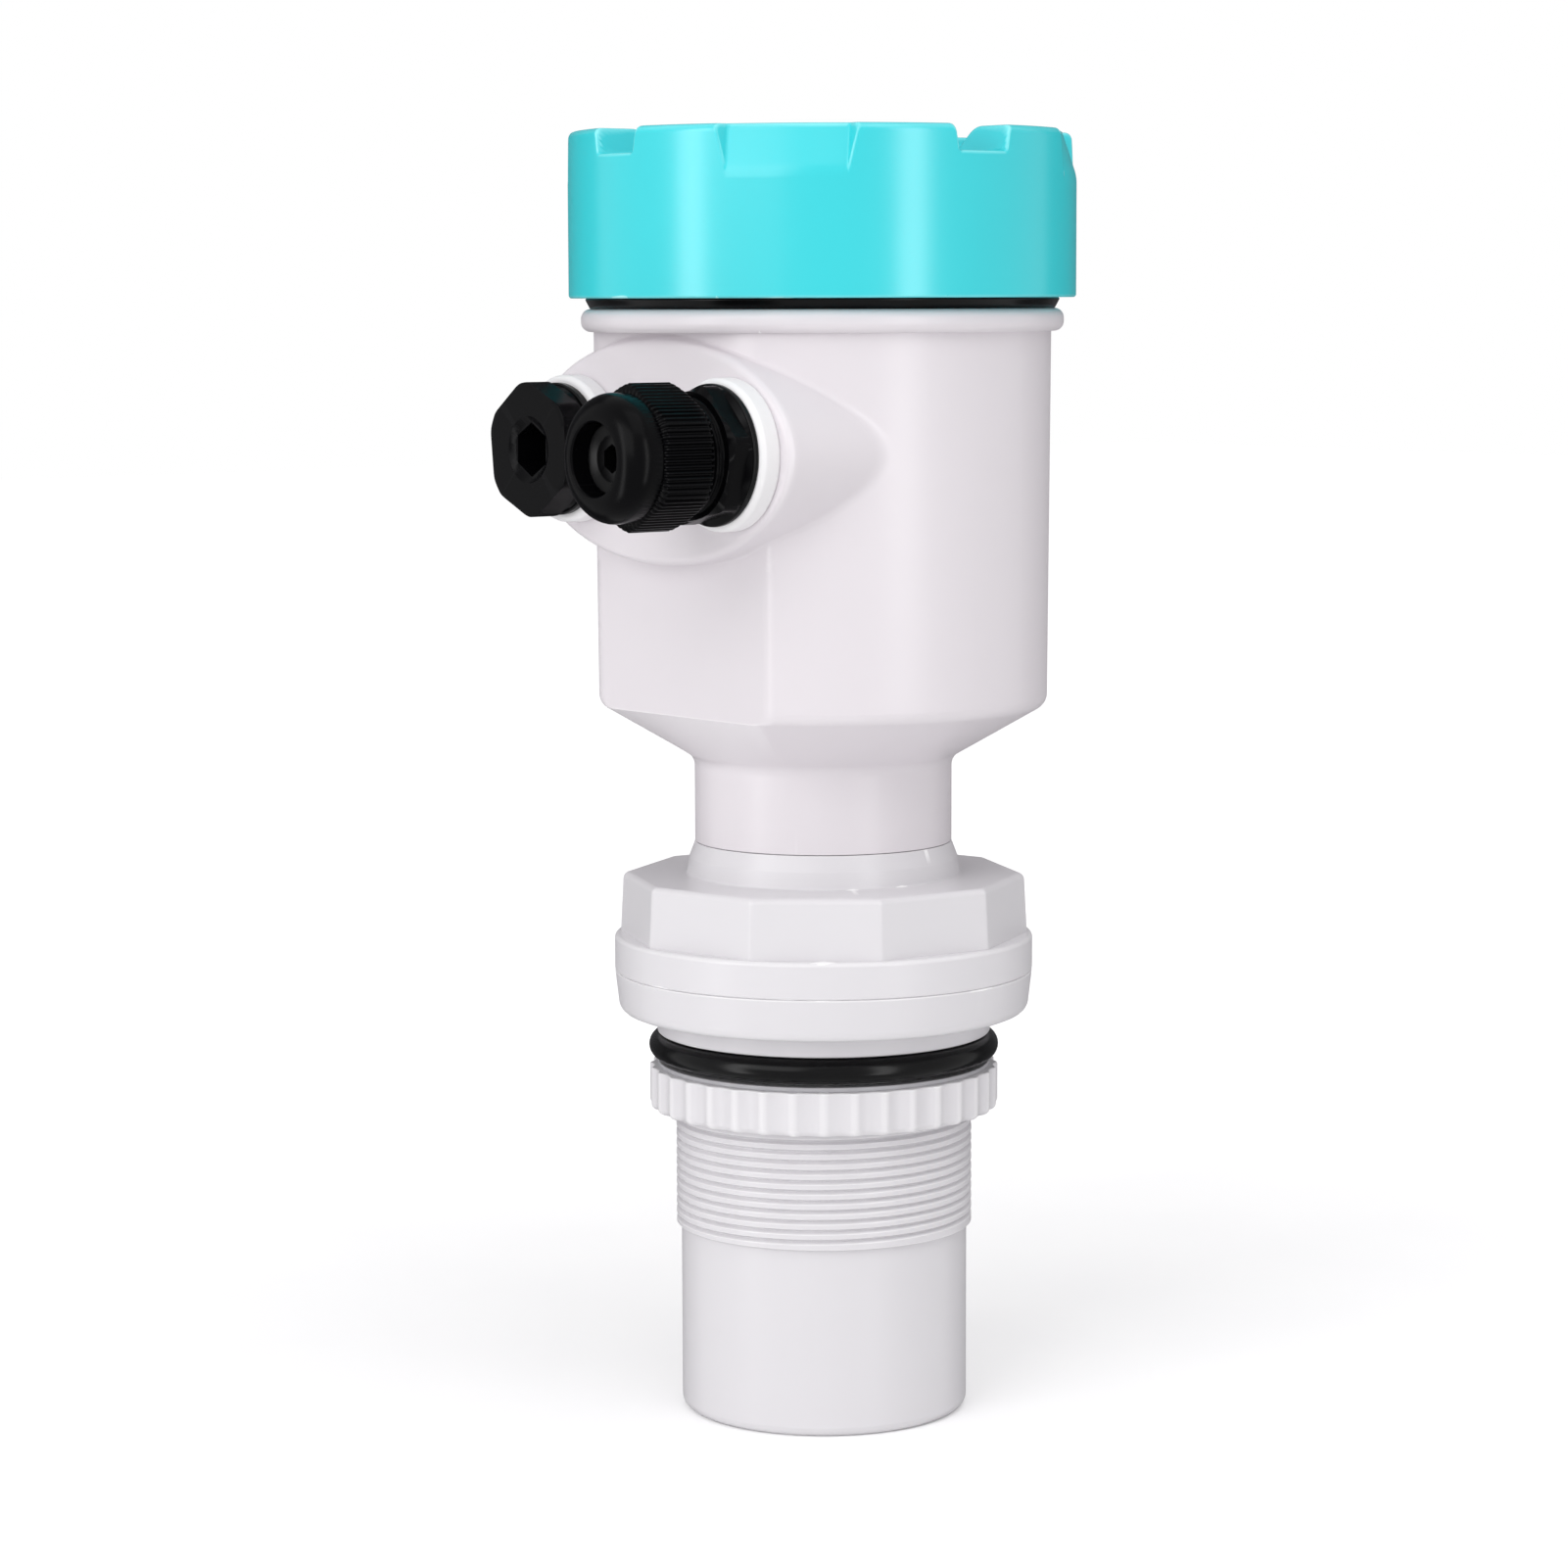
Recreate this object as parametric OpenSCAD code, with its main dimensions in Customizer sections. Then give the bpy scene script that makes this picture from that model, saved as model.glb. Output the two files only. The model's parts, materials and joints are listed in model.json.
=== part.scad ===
// Radar level transmitter: a screw-lid head with two cable entries on a threaded sensor.
// The origin is the centre of the sensor's bottom face. +Z runs up the axis, and the
// cable entries face -Y. All sizes are in millimetres.

/* [Sensor tube and thread] */
// Outer diameter of the plain tube
tube_d = 58; // [57:0.25:59]
// Height of the plain tube
tube_h = 38; // [32:1:44]
// Wall of the tube
tube_wall = 4; // [3:0.25:5]
// Thickness of the closed bottom
tube_floor = 3; // [2:0.25:5]
// Radius of the tube's bottom edge
tube_edge_r = 2; // [1:0.25:3]
// Outer diameter of the process thread
thread_d = 60; // [59.5:0.25:61]
// Length of the thread, up to the shoulder
thread_h = 39.2; // [36:0.2:44]
// How much the radius is relieved where the nut is parked
thread_relief = 0.4; // [0.3:0.05:0.6]
// Diameter of the shoulder above the thread
shoulder_d = 67.4; // [66:0.2:70]
// Height of the shoulder
shoulder_h = 4.3; // [3:0.1:6]
// Diameter of the two rings that meet at the lower seam
ring_d = 84.4; // [84:0.2:88]
// Height of the chamfer under the sensor's ring
ring_chamfer = 2.2; // [1:0.1:3]
// Height of the sensor's ring above its chamfer
sensor_ring_h = 6.3; // [5:0.1:9]

/* [Ring nut and mounting seal] */
// Outer diameter of the ring nut over its flutes
nut_d = 70.6; // [69:0.2:74]
// Height of the ring nut
nut_h = 8.7; // [7:0.1:11]
// Distance from the shoulder down to the nut's top face
nut_drop = 6.8; // [6.6:0.1:8]
// Number of grip flutes
nut_flutes = 36; // [24:1:40]
// Depth of a grip flute
flute_depth = 0.55; // [0.3:0.05:0.9]
// Thickness of the slip washer on the nut
washer_h = 0.9; // [0.6:0.1:1]
// Outer diameter of the slip washer
washer_d = 67.2; // [65:0.2:69]
// Outer diameter of the mounting O-ring
oring_d = 70.8; // [70.4:0.2:71.6]

/* [Process collar] */
// Height of the collar's round ring
collar_ring_h = 7.3; // [6:0.1:10]
// Width across corners at the foot of the ten-sided grip
grip_corner_d = 82.4; // [80:0.2:83.6]
// How much narrower the grip is at its top, across corners
grip_taper = 1.3; // [0.4:0.1:2]
// Height of the ten-sided grip
grip_h = 12.05; // [9:0.05:16]
// Number of flats on the grip
grip_sides = 10; // [6:1:12]
// Turn of the grip about the axis
grip_turn = -24.3; // [-36:0.1:36]
// Rounding of the grip's top edge
grip_edge = 1; // [0.5:0.1:2]
// Diameter of the flared foot of the neck
flare_d = 55; // [53.5:0.5:60]
// Height of the flare, from the grip up to the upper seam
flare_h = 6.75; // [5:0.25:9]
// Depth of the hollow over the radar board
collar_hollow_h = 8; // [6:0.5:10]
// Length of the spigot that fits inside the neck
spigot_h = 12; // [9:0.5:14]
// Wall of the spigot
spigot_wall = 4.5; // [3.5:0.25:6]
// Section of the O-ring on the spigot
neck_ring_d = 2.4; // [1.8:0.1:3]
// Inner diameter of the face gasket between collar and sensor
face_gasket_d = 68; // [66:0.5:70]
// Width of the face gasket
face_gasket_w = 3; // [2:0.25:3.5]
// Thickness of the face gasket
face_gasket_h = 1.5; // [1:0.1:2]

/* [Housing] */
// Outer diameter of the neck
neck_d = 51.74; // [51:0.1:53]
// Height of the neck, from the upper seam to the cone
neck_h = 16.95; // [14.5:0.05:22]
// Height of the cone under the body
cone_h = 10.95; // [9:0.05:14]
// Diameter of the body at its foot
body_foot_d = 89.9; // [89:0.1:92]
// Diameter of the body under the bead
body_top_d = 91; // [90:0.1:93]
// Height of the body, from the cone to the bead
body_h = 74; // [72.5:0.5:84]
// Wall of the housing
housing_wall = 3.5; // [3:0.1:4]
// Diameter of the bead under the lid
bead_d = 96; // [95:0.2:98]
// Height of the bead
bead_h = 4.5; // [4:0.1:6]
// Height of the threaded mouth above the bead
mouth_h = 14.5; // [13.5:0.5:18]
// Wall of the threaded mouth
mouth_wall = 3; // [2.6:0.1:3.2]
// Distance of the flat facet from the axis
flat_y = 36.2; // [35.5:0.1:38]
// Thickness of the neck's wall
neck_wall = 4.4; // [4:0.1:5]
// Height of the screw posts above the foot of the body
post_h = 16; // [12:0.5:18]
// Diameter of a screw post
post_d = 7; // [6:0.25:8]

/* [Lid] */
// Outer diameter of the lid
lid_d = 100.8; // [99.8:0.2:104]
// Height of the lid
lid_h = 32.6; // [31.6:0.2:38]
// Thickness of the lid's skirt
lid_wall = 5.6; // [4.8:0.1:6.6]
// Height of the seal under the lid
seal_h = 2.1; // [1.6:0.1:3]
// Outer diameter of the seal where it meets the lid
seal_d = 94.6; // [94:0.2:96]
// Thickness of the lid's roof
lid_roof = 4; // [3:0.25:4.5]
// Rounding of the lid's upper outer edge
lid_edge_r = 1.2; // [0.6:0.1:2]
// Depth of the dish in the top, and of the notches that run into it
dish_depth = 5; // [4:0.25:5.5]
// Width of the rim's top face
rim_w = 8.3; // [6:0.1:10]
// Number of notches and of grip pockets
lid_grips = 4; // [3:1:5]
// Width of a rim notch at its floor
notch_w = 11.2; // [8:0.2:13]
// Turn of the first notch about the axis
notch_turn = -2.4; // [-45:0.1:45]
// Width of a grip pocket at the lid's surface
pocket_w = 26.8; // [22:0.2:28]
// Depth of a grip pocket at the top
pocket_depth = 3; // [2:0.1:3.5]
// Height over which a grip pocket runs out
pocket_h = 11.5; // [8:0.25:15]
// Turn of the first grip pocket about the axis
pocket_turn = -47.8; // [-50:0.1:-40]

/* [Cable entries] */
// Height of the entries above the foot of the body
entry_rise = 51.2; // [49.8:0.1:52]
// Distance between the two entries
entry_pitch = 48.3; // [47:0.1:49]
// Width of the oval boss
boss_w = 82; // [81:0.2:84]
// Height of the oval boss
boss_h = 44; // [42:0.2:46]
// Distance of the boss's face from the axis
boss_y = 42.5; // [42:0.1:44]
// Rounding of the boss's rim
boss_edge = 1.6; // [0.8:0.1:2.4]
// Diameter of the round face of an entry bushing
bushing_d = 29; // [28:0.1:30]
// How far a bushing stands proud of the boss
bushing_h = 4.4; // [3:0.1:5.5]
// Length of a bushing inside the boss
bushing_len = 11.5; // [10.6:0.1:12]
// Diameter of the entry thread
entry_thread_d = 20; // [19.6:0.1:20.4]
// Wall of a bushing around its thread
bushing_wall = 1.5; // [1.2:0.1:1.8]

/* [Cable gland] */
// Thickness of the gasket under the gland
gasket_h = 1.2; // [0.8:0.1:2]
// Outer diameter of the gasket
gasket_d = 27; // [26:0.1:28]
// Length of the gland's threaded shank
shank_len = 10; // [9:0.25:10.6]
// Thickness of the round base under the gland's hexagon
gland_base_h = 0.8; // [0.5:0.1:1.5]
// Width across flats of the gland's hexagon
gland_af = 24; // [23:0.1:25]
// Thickness of the gland's hexagon
gland_hex_h = 4.1; // [3.5:0.1:6]
// Turn of the gland's hexagon about its axis
gland_turn = 13.8; // [-30:0.1:30]
// Diameter of the stub that carries the clamping nut
stub_d = 22.4; // [21.8:0.1:22.8]
// Length of the stub
stub_len = 13.4; // [12.6:0.1:15]
// Diameter over the gland hexagon's cut corners
gland_corner_d = 27.2; // [26.6:0.1:27.6]
// Wall of the stub round the cable seal
stub_wall = 1.85; // [1.6:0.05:2]
// Depth of solid under the cable seal's seat
stub_floor = 3; // [2.5:0.25:4]
// Gap between the cable seal and its seat
seal_float = 1.8; // [1.6:0.1:2.4]
// Clear bore of the gland body
gland_bore_d = 15.2; // [14:0.1:16]
// Gap between the hexagon and the clamping nut
nut_stand_off = 4.4; // [3.5:0.1:5]
// Width across flats of the clamping nut
clamp_af = 25; // [24.4:0.1:26]
// Diameter over the clamping nut's rounded corners
clamp_corner_d = 27.9; // [27:0.1:28.6]
// Length of the clamping nut's ribbed grip
clamp_grip_h = 11.6; // [11:0.1:13]
// Length of the clamping nut's dome
clamp_dome_h = 7.2; // [5.5:0.1:8]
// Diameter at the foot of the dome
dome_d = 25.6; // [24.6:0.1:26]
// Rounding of the dome's nose
dome_edge = 5; // [4:0.1:5.8]
// Diameter of the mouth for the cable
cable_mouth_d = 13; // [12:0.1:14]
// Number of ribs on the clamping nut
clamp_ribs = 72; // [60:6:78]
// Depth of the grooves between the ribs
rib_depth = 0.4; // [0.2:0.05:0.5]
// Bore of the rubber cable seal
seal_bore_d = 10; // [8:0.25:11.5]

/* [Blanking plug] */
// Thickness of the plug's gasket
plug_gasket_h = 1.7; // [1:0.1:2.4]
// Outer diameter of the plug's gasket
plug_gasket_d = 26; // [25:0.1:27]
// Length of the plug's threaded shank
plug_len = 9; // [8:0.25:10]
// Width across flats of the plug's head
plug_af = 24; // [23:0.1:25]
// Diameter over the plug's cut corners
plug_corner_d = 26.6; // [26:0.1:27]
// Thickness of the plug's head
plug_head_h = 5.8; // [5:0.1:7]
// Turn of the plug about its axis
plug_turn = 38; // [0:1:60]
// Width across flats of the key socket
socket_af = 8.3; // [7:0.1:9]
// Depth of the key socket below the countersink
socket_depth = 4.5; // [3:0.1:5]
// Diameter of the countersink around the socket
countersink_d = 13; // [12:0.1:14]

/* [Electronics] */
// Thickness of a circuit board
board_h = 1.6; // [1.2:0.1:2]
// Thickness of the cup's flange
cup_flange_h = 3; // [2:0.25:4]
// Diameter of the potted cup
cup_d = 51; // [46:0.5:52]
// Height of the potted cup above its flange
cup_h = 20; // [17:0.25:22]
// Distance of the cup's screws from the axis
screw_ring_r = 33; // [31:0.25:33.5]
// Diameter of a cup screw's thread
screw_d = 3; // [2.5:0.1:3.5]
// Diameter of a cup screw's head
screw_head_d = 5.6; // [5:0.1:6]
// Height of a cup screw's head
screw_head_h = 2; // [1.5:0.1:2.5]
// Length of a cup screw below its head
screw_len = 11; // [9:0.5:12]
// Number of terminals
terminals = 6; // [4:1:6]
// Distance between terminals
terminal_pitch = 5.6; // [5.2:0.1:6]
// Depth of the terminal block, front to back
terminal_y = 12; // [11:0.5:14]
// Height of the terminal block
terminal_h = 10; // [9:0.25:12]
// Diameter of a terminal's screw
terminal_screw_d = 3.8; // [3:0.1:4]
// Height of a terminal's screw
terminal_screw_h = 2; // [1.5:0.1:2.5]
// Depth of a terminal's screw hole
terminal_hole_h = 3; // [2.6:0.1:3.5]
// Diameter of a terminal's wire hole
wire_hole_d = 3.4; // [2.8:0.1:3.6]
// Width and depth of a screw's slot
screw_slot = 0.8; // [0.6:0.1:1]
// Height of the display board above the foot of the bead
display_rise = 8; // [7:0.25:9]
// Gap between the display's frame and the wall round it
display_gap = 2.95; // [2:0.05:4]
// Height of the display's frame
display_h = 12; // [11:0.25:12.5]
// Wall and top of the display's frame
display_wall = 2.5; // [2:0.25:3]
// Width of the window opening
window_w = 48; // [40:0.5:50]
// Height of the window opening
window_l = 22; // [18:0.5:24]
// How far the window lies behind the axis
window_y = 8; // [6:0.5:10]
// Thickness of the window
window_h = 1.5; // [1:0.1:2]
// Diameter of a key
key_d = 8; // [6:0.25:9]
// Distance between keys
key_pitch = 13; // [12:0.25:14]
// How far the keys lie in front of the axis
key_y = 20; // [18:0.5:22]
// How far a key stands proud of the frame
key_proud = 1.5; // [1:0.1:2]
// Travel of a key
key_travel = 0.8; // [0.5:0.1:1]
// Width of the flat ribbon to the radar board
ribbon_w = 14; // [8:0.5:18]
// Thickness of the flat ribbon
ribbon_h = 1; // [0.8:0.1:1.5]

/* [Radar] */
// Width of the ledge that carries the radar board
ledge_w = 2.3; // [1.5:0.1:2.5]
// Thickness of the horn's wall
horn_wall = 1.2; // [1:0.1:2]
// Diameter of the horn's throat
throat_d = 8; // [6:0.5:12]
// Thickness of the lens at its edge
lens_edge_h = 4; // [3:0.25:6]
// How far the lens bulges above its edge
lens_bulge = 7; // [5:0.25:9]

/* [Fits] */
// Radial play between screwed or sliding pieces
thread_play = 0.35; // [0.3:0.05:0.4]
// Gap round a piece that is held still
snug = 0.1; // [0.05:0.05:0.15]

/* [Hidden] */
$fn = 96;

// Levels along the axis, from the sensor's bottom face up
z_thread = tube_h;
z_shoulder = z_thread + thread_h;
z_ring = z_shoulder + shoulder_h;
z_seam = z_ring + ring_chamfer + sensor_ring_h;
z_grip = z_seam + collar_ring_h;
z_flare = z_grip + grip_h;
z_neck = z_flare + flare_h;
z_cone = z_neck + neck_h;
z_body = z_cone + cone_h;
z_bead = z_body + body_h;
z_seal = z_bead + bead_h;
z_lid = z_seal + seal_h;
z_top = z_lid + lid_h;
z_mouth = z_seal + mouth_h;
z_nut = z_shoulder - nut_drop - nut_h;
z_entry = z_body + entry_rise;

// Radii
tube_r = tube_d / 2;
thread_r = thread_d / 2;
ring_r = ring_d / 2;
neck_r = neck_d / 2;
body_foot_r = body_foot_d / 2;
body_top_r = body_top_d / 2;
bead_r = bead_d / 2;
cavity_r = body_foot_r - housing_wall;
lid_r = lid_d / 2;
lid_bore_r = lid_r - lid_wall;
mouth_r = lid_bore_r - thread_play;
mouth_bore_r = mouth_r - mouth_wall;
neck_bore_r = neck_r - neck_wall;
nut_bore_r = thread_r + thread_play;
cavity_flat_y = flat_y - housing_wall;
bead_ledge_h = bead_h * 0.55;
roof_fillet = 0.75 * lid_roof;

// The sensor's inside
sensor_bore_r = tube_r - tube_wall;
board_seat_r = sensor_bore_r + ledge_w;
z_ledge = z_ring + 1;
z_radar_top = z_ledge + board_h;
z_horn = tube_floor + lens_edge_h;

// The collar's spigot inside the neck, with its O-ring
spigot_r = neck_bore_r - snug;
spigot_bore_r = spigot_r - spigot_wall;
groove_r = spigot_r - neck_ring_d;
z_groove = z_neck + spigot_h / 2;
gasket_in_r = face_gasket_d / 2;

// Distances of the entry parts from the axis
bushing_y = boss_y + bushing_h;
bushing_thread_r = entry_thread_d / 2 + thread_play;
bushing_r = bushing_thread_r + bushing_wall;
gland_base_y = bushing_y + gasket_h;
gland_hex_y = gland_base_y + gland_base_h;
stub_y = gland_hex_y + gland_hex_h;
stub_end_y = stub_y + stub_len;
clamp_y = stub_y + nut_stand_off;
clamp_dome_y = clamp_y + clamp_grip_h;
clamp_end_y = clamp_dome_y + clamp_dome_h;
seal_seat_y = stub_y + stub_floor;
cable_seal_y = seal_seat_y + seal_float;
cable_seal_end_y = clamp_dome_y + 1;
cable_seal_r = stub_d / 2 - stub_wall - thread_play;
plug_head_y = bushing_y + plug_gasket_h;

// Levels of the electronics
z_cup = z_body + post_h;
z_cup_flange = z_cup + cup_flange_h;
z_cup_top = z_cup_flange + cup_h;
z_terminal_hole = z_cup_top + terminal_h - terminal_hole_h;
z_board = z_bead + display_rise;
z_frame = z_board + board_h;
z_frame_top = z_frame + display_h;
z_frame_roof = z_frame_top - display_wall;
z_window = z_frame_roof - window_h;
z_key_foot = z_frame + key_travel + 0.4;
display_d = 2 * (min(mouth_bore_r, cavity_r) - display_gap);
post_turns = [45, 135, 225, 315];
standoff_turns = [0, 90, 180];

// Steps of a rounded corner, and a small overlap for clean cuts
round_steps = 5;
eps = 0.5;

HOUSING_GREY = "#DEDCDF";
BUSHING_WHITE = "#F4F4F4";
LID_TURQUOISE = "#4AD6DC";
NYLON_BLACK = "#1B1B1C";
RUBBER_BLACK = "#121213";
BOARD_GREEN = "#1E5B3C";

function unit(v) = v / norm(v);

// Points of the arc of radius r that rounds corner b between a and c
function rounded(a, b, c, r) =
    let (u = unit(a - b), v = unit(c - b), half = acos(u * v) / 2,
         centre = b + unit(u + v) * r / sin(half),
         from = b + u * r / tan(half) - centre,
         to = b + v * r / tan(half) - centre)
    [for (i = [0:round_steps]) centre + r * unit(from * (round_steps - i) + to * i)];

// Puts its child at an entry, with the child's Z axis pointing out along -Y
module at_entry(side) translate([side * entry_pitch / 2, 0, z_entry]) rotate([90, 0, 0]) children();

module ring(d_in, d_out, z, h) translate([0, 0, z]) difference() {
    cylinder(d = d_out, h = h);
    translate([0, 0, -eps]) cylinder(d = d_in, h = h + 2 * eps);
}

// ---- Lid ----

// Radial slot through the rim, a little wider at the top, down to the dish
module rim_notch() rotate([90, 0, 90]) translate([0, z_top - dish_depth, lid_r - 2 * rim_w])
    linear_extrude(2 * rim_w + eps)
        polygon([[-notch_w / 2, 0], [notch_w / 2, 0],
                 [notch_w / 2 + 0.9, dish_depth + eps], [-notch_w / 2 - 0.9, dish_depth + eps]]);

// Shallow grip pocket whose floor runs out on a cone
module grip_pocket() difference() {
    translate([0, 0, z_top - pocket_h]) linear_extrude(pocket_h + eps)
        polygon([[lid_r - 2 * pocket_depth, pocket_w / 2 - 1.4 * pocket_depth],
                 [lid_r * cos(15), pocket_w / 2], [lid_r + eps, pocket_w / 2 + 1.4],
                 [lid_r + eps, -pocket_w / 2 - 1.4], [lid_r * cos(15), -pocket_w / 2],
                 [lid_r - 2 * pocket_depth, -pocket_w / 2 + 1.4 * pocket_depth]]);
    translate([0, 0, z_top - pocket_h - eps])
        cylinder(r1 = lid_r + pocket_depth * eps / pocket_h,
                 r2 = lid_r - pocket_depth - pocket_depth * 2 * eps / pocket_h,
                 h = pocket_h + 3 * eps);
}

module lid() color(LID_TURQUOISE) difference() {
    rotate_extrude() polygon(concat(
        [[lid_bore_r, z_lid]],
        rounded([lid_bore_r, z_lid], [lid_r, z_lid], [lid_r, z_top], 0.5),
        rounded([lid_r, z_lid], [lid_r, z_top], [0, z_top], lid_edge_r),
        [[lid_r - rim_w, z_top], [lid_r - rim_w - dish_depth, z_top - dish_depth],
         [0, z_top - dish_depth], [0, z_top - dish_depth - lid_roof],
         [lid_bore_r - roof_fillet, z_top - dish_depth - lid_roof],
         [lid_bore_r, z_top - dish_depth - lid_roof - roof_fillet]]));
    for (k = [0:lid_grips - 1]) {
        rotate(notch_turn + k * 360 / lid_grips) rim_notch();
        rotate(pocket_turn + k * 360 / lid_grips) grip_pocket();
    }
}

module lid_seal() color(RUBBER_BLACK) rotate_extrude()
    polygon([[mouth_r + thread_play, z_seal], [seal_d / 2 - 1.1, z_seal],
             [seal_d / 2, z_lid], [mouth_r + thread_play, z_lid]]);

// ---- Housing ----

function body_outline() = concat(
    [[0, z_neck], [neck_r, z_neck]],
    rounded([neck_r, z_neck], [neck_r, z_cone], [body_foot_r, z_body], 3),
    rounded([neck_r, z_cone], [body_foot_r, z_body], [body_top_r, z_bead], 3),
    [[body_top_r, z_bead]],
    rounded([body_top_r, z_bead], [bead_r, z_bead], [bead_r, z_seal], bead_h * 0.45),
    rounded([bead_r, z_bead], [bead_r, z_seal], [mouth_r, z_seal], bead_h * 0.45),
    [[mouth_r, z_seal], [mouth_r, z_mouth], [0, z_mouth]]);

module boss_slice(inset, y0, y1) translate([0, 0, y0]) linear_extrude(y1 - y0)
    polygon([for (a = [0:7.5:359]) [(boss_w / 2 - inset) * cos(a), (boss_h / 2 - inset) * sin(a)]]);

// Oval boss for the two entries, with a rounded rim
module entry_boss() translate([0, 0, z_entry]) rotate([90, 0, 0]) hull() {
    boss_slice(0, 12, boss_y - boss_edge);
    boss_slice(boss_edge * 0.3, 12, boss_y - boss_edge * 0.3);
    boss_slice(boss_edge, 12, boss_y);
}

// Room inside the housing, flat behind the facet and round at the mouth
module housing_cavity() {
    difference() {
        rotate_extrude() polygon([[0, z_neck - eps], [neck_bore_r, z_neck - eps],
            [neck_bore_r, z_cone + 3], [cavity_r, z_body + 3], [cavity_r, z_bead - bead_h],
            [mouth_bore_r, z_bead], [mouth_bore_r, z_mouth + eps], [0, z_mouth + eps]]);
        translate([-body_top_r, -2 * body_top_r - cavity_flat_y, z_cone])
            cube([2 * body_top_r, 2 * body_top_r, z_bead + bead_ledge_h - z_cone]);
    }
    for (side = [-1, 1]) at_entry(side) translate([0, 0, cavity_flat_y / 2])
        cylinder(r = bushing_r + snug, h = boss_y);
}

module at_posts() for (turn = post_turns) rotate(turn) translate([screw_ring_r, 0, 0]) children();

module housing() color(HOUSING_GREY) {
    difference() {
        union() {
            difference() {
                rotate_extrude() polygon(body_outline());
                translate([-body_top_r, -2 * body_top_r - flat_y, z_neck])
                    cube([2 * body_top_r, 2 * body_top_r, z_entry - z_neck]);
                // The round body above stands back for the boss's face
                translate([0, 0, z_entry]) rotate([90, 0, 0])
                    boss_slice(0, boss_y - boss_edge, bead_r);
            }
            entry_boss();
        }
        housing_cavity();
    }
    at_posts() difference() {
        translate([0, 0, z_body - 1]) cylinder(d = post_d, h = post_h + 1);
        translate([0, 0, z_cup - screw_len]) cylinder(d = screw_d + 2 * snug, h = screw_len + eps);
    }
}

// ---- Cable entries ----

module entry_bushing(side) color(BUSHING_WHITE) at_entry(side) rotate_extrude() polygon(concat(
    [[bushing_thread_r, boss_y - bushing_len], [bushing_r, boss_y - bushing_len],
     [bushing_r, boss_y], [bushing_d / 2, boss_y]],
    rounded([bushing_d / 2, boss_y], [bushing_d / 2, bushing_y], [bushing_thread_r, bushing_y], 0.8),
    [[bushing_thread_r, bushing_y]]));

module gland_bushing() entry_bushing(1);
module plug_bushing() entry_bushing(-1);

module gland_gasket() color(RUBBER_BLACK) at_entry(1)
    ring(2 * bushing_thread_r, gasket_d, bushing_y, gasket_h);

// Hexagon whose corners are cut by a cylinder of diameter d_corner
module cut_hexagon(af, d_corner, h) intersection() {
    cylinder(d = af / cos(30), h = h, $fn = 6);
    cylinder(d = d_corner, h = h);
}

module gland_body() color(NYLON_BLACK) at_entry(1) difference() {
    union() {
        rotate_extrude() polygon([[0, bushing_y - shank_len], [entry_thread_d / 2, bushing_y - shank_len],
            [entry_thread_d / 2, gland_base_y], [gasket_d / 2 - 2 * snug, gland_base_y],
            [gasket_d / 2 - 2 * snug, gland_hex_y], [stub_d / 2, gland_hex_y],
            [stub_d / 2, stub_end_y], [0, stub_end_y]]);
        translate([0, 0, gland_hex_y]) rotate(gland_turn)
            cut_hexagon(gland_af, gland_corner_d, gland_hex_h);
    }
    rotate_extrude() polygon([[0, bushing_y - shank_len - eps],
        [gland_bore_d / 2, bushing_y - shank_len - eps], [gland_bore_d / 2, seal_seat_y],
        [cable_seal_r + thread_play, seal_seat_y], [cable_seal_r + thread_play, stub_end_y + eps],
        [0, stub_end_y + eps]]);
}

module gland_seal() color(RUBBER_BLACK) at_entry(1)
    ring(seal_bore_d, 2 * cable_seal_r, cable_seal_y, cable_seal_end_y - cable_seal_y);

// Radius of the clamping nut's outline at angle a: a hexagon with rounded-off corners
function clamp_outline_r(a) = min(clamp_af / 2 / cos((a % 60 + 60) % 60 - 30), clamp_corner_d / 2);

module gland_nut() color(NYLON_BLACK) at_entry(1) difference() {
    union() {
        translate([0, 0, clamp_y]) rotate(gland_turn) linear_extrude(clamp_grip_h)
            polygon([for (i = [0:2 * clamp_ribs - 1])
                let (a = i * 180 / clamp_ribs, r = clamp_outline_r(a) - (i % 2) * rib_depth)
                [r * cos(a), r * sin(a)]]);
        rotate_extrude() polygon(concat([[0, clamp_dome_y - eps], [dome_d / 2, clamp_dome_y - eps]],
            rounded([dome_d / 2, clamp_dome_y - eps], [dome_d / 2, clamp_end_y], [0, clamp_end_y],
                dome_edge),
            [[0, clamp_end_y]]));
    }
    rotate_extrude() polygon(concat(
        [[0, clamp_y - eps], [stub_d / 2 + thread_play, clamp_y - eps],
         [stub_d / 2 + thread_play, clamp_dome_y - 1], [cable_seal_r + thread_play, clamp_dome_y - 1],
         [cable_seal_r + thread_play, cable_seal_end_y], [cable_mouth_d / 2, cable_seal_end_y],
         [cable_mouth_d / 2, clamp_end_y - 1.2], [cable_mouth_d / 2 + 0.8, clamp_end_y + eps],
         [0, clamp_end_y + eps]]));
}

module plug_gasket() color(RUBBER_BLACK) at_entry(-1)
    ring(2 * bushing_thread_r, plug_gasket_d, bushing_y, plug_gasket_h);

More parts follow.
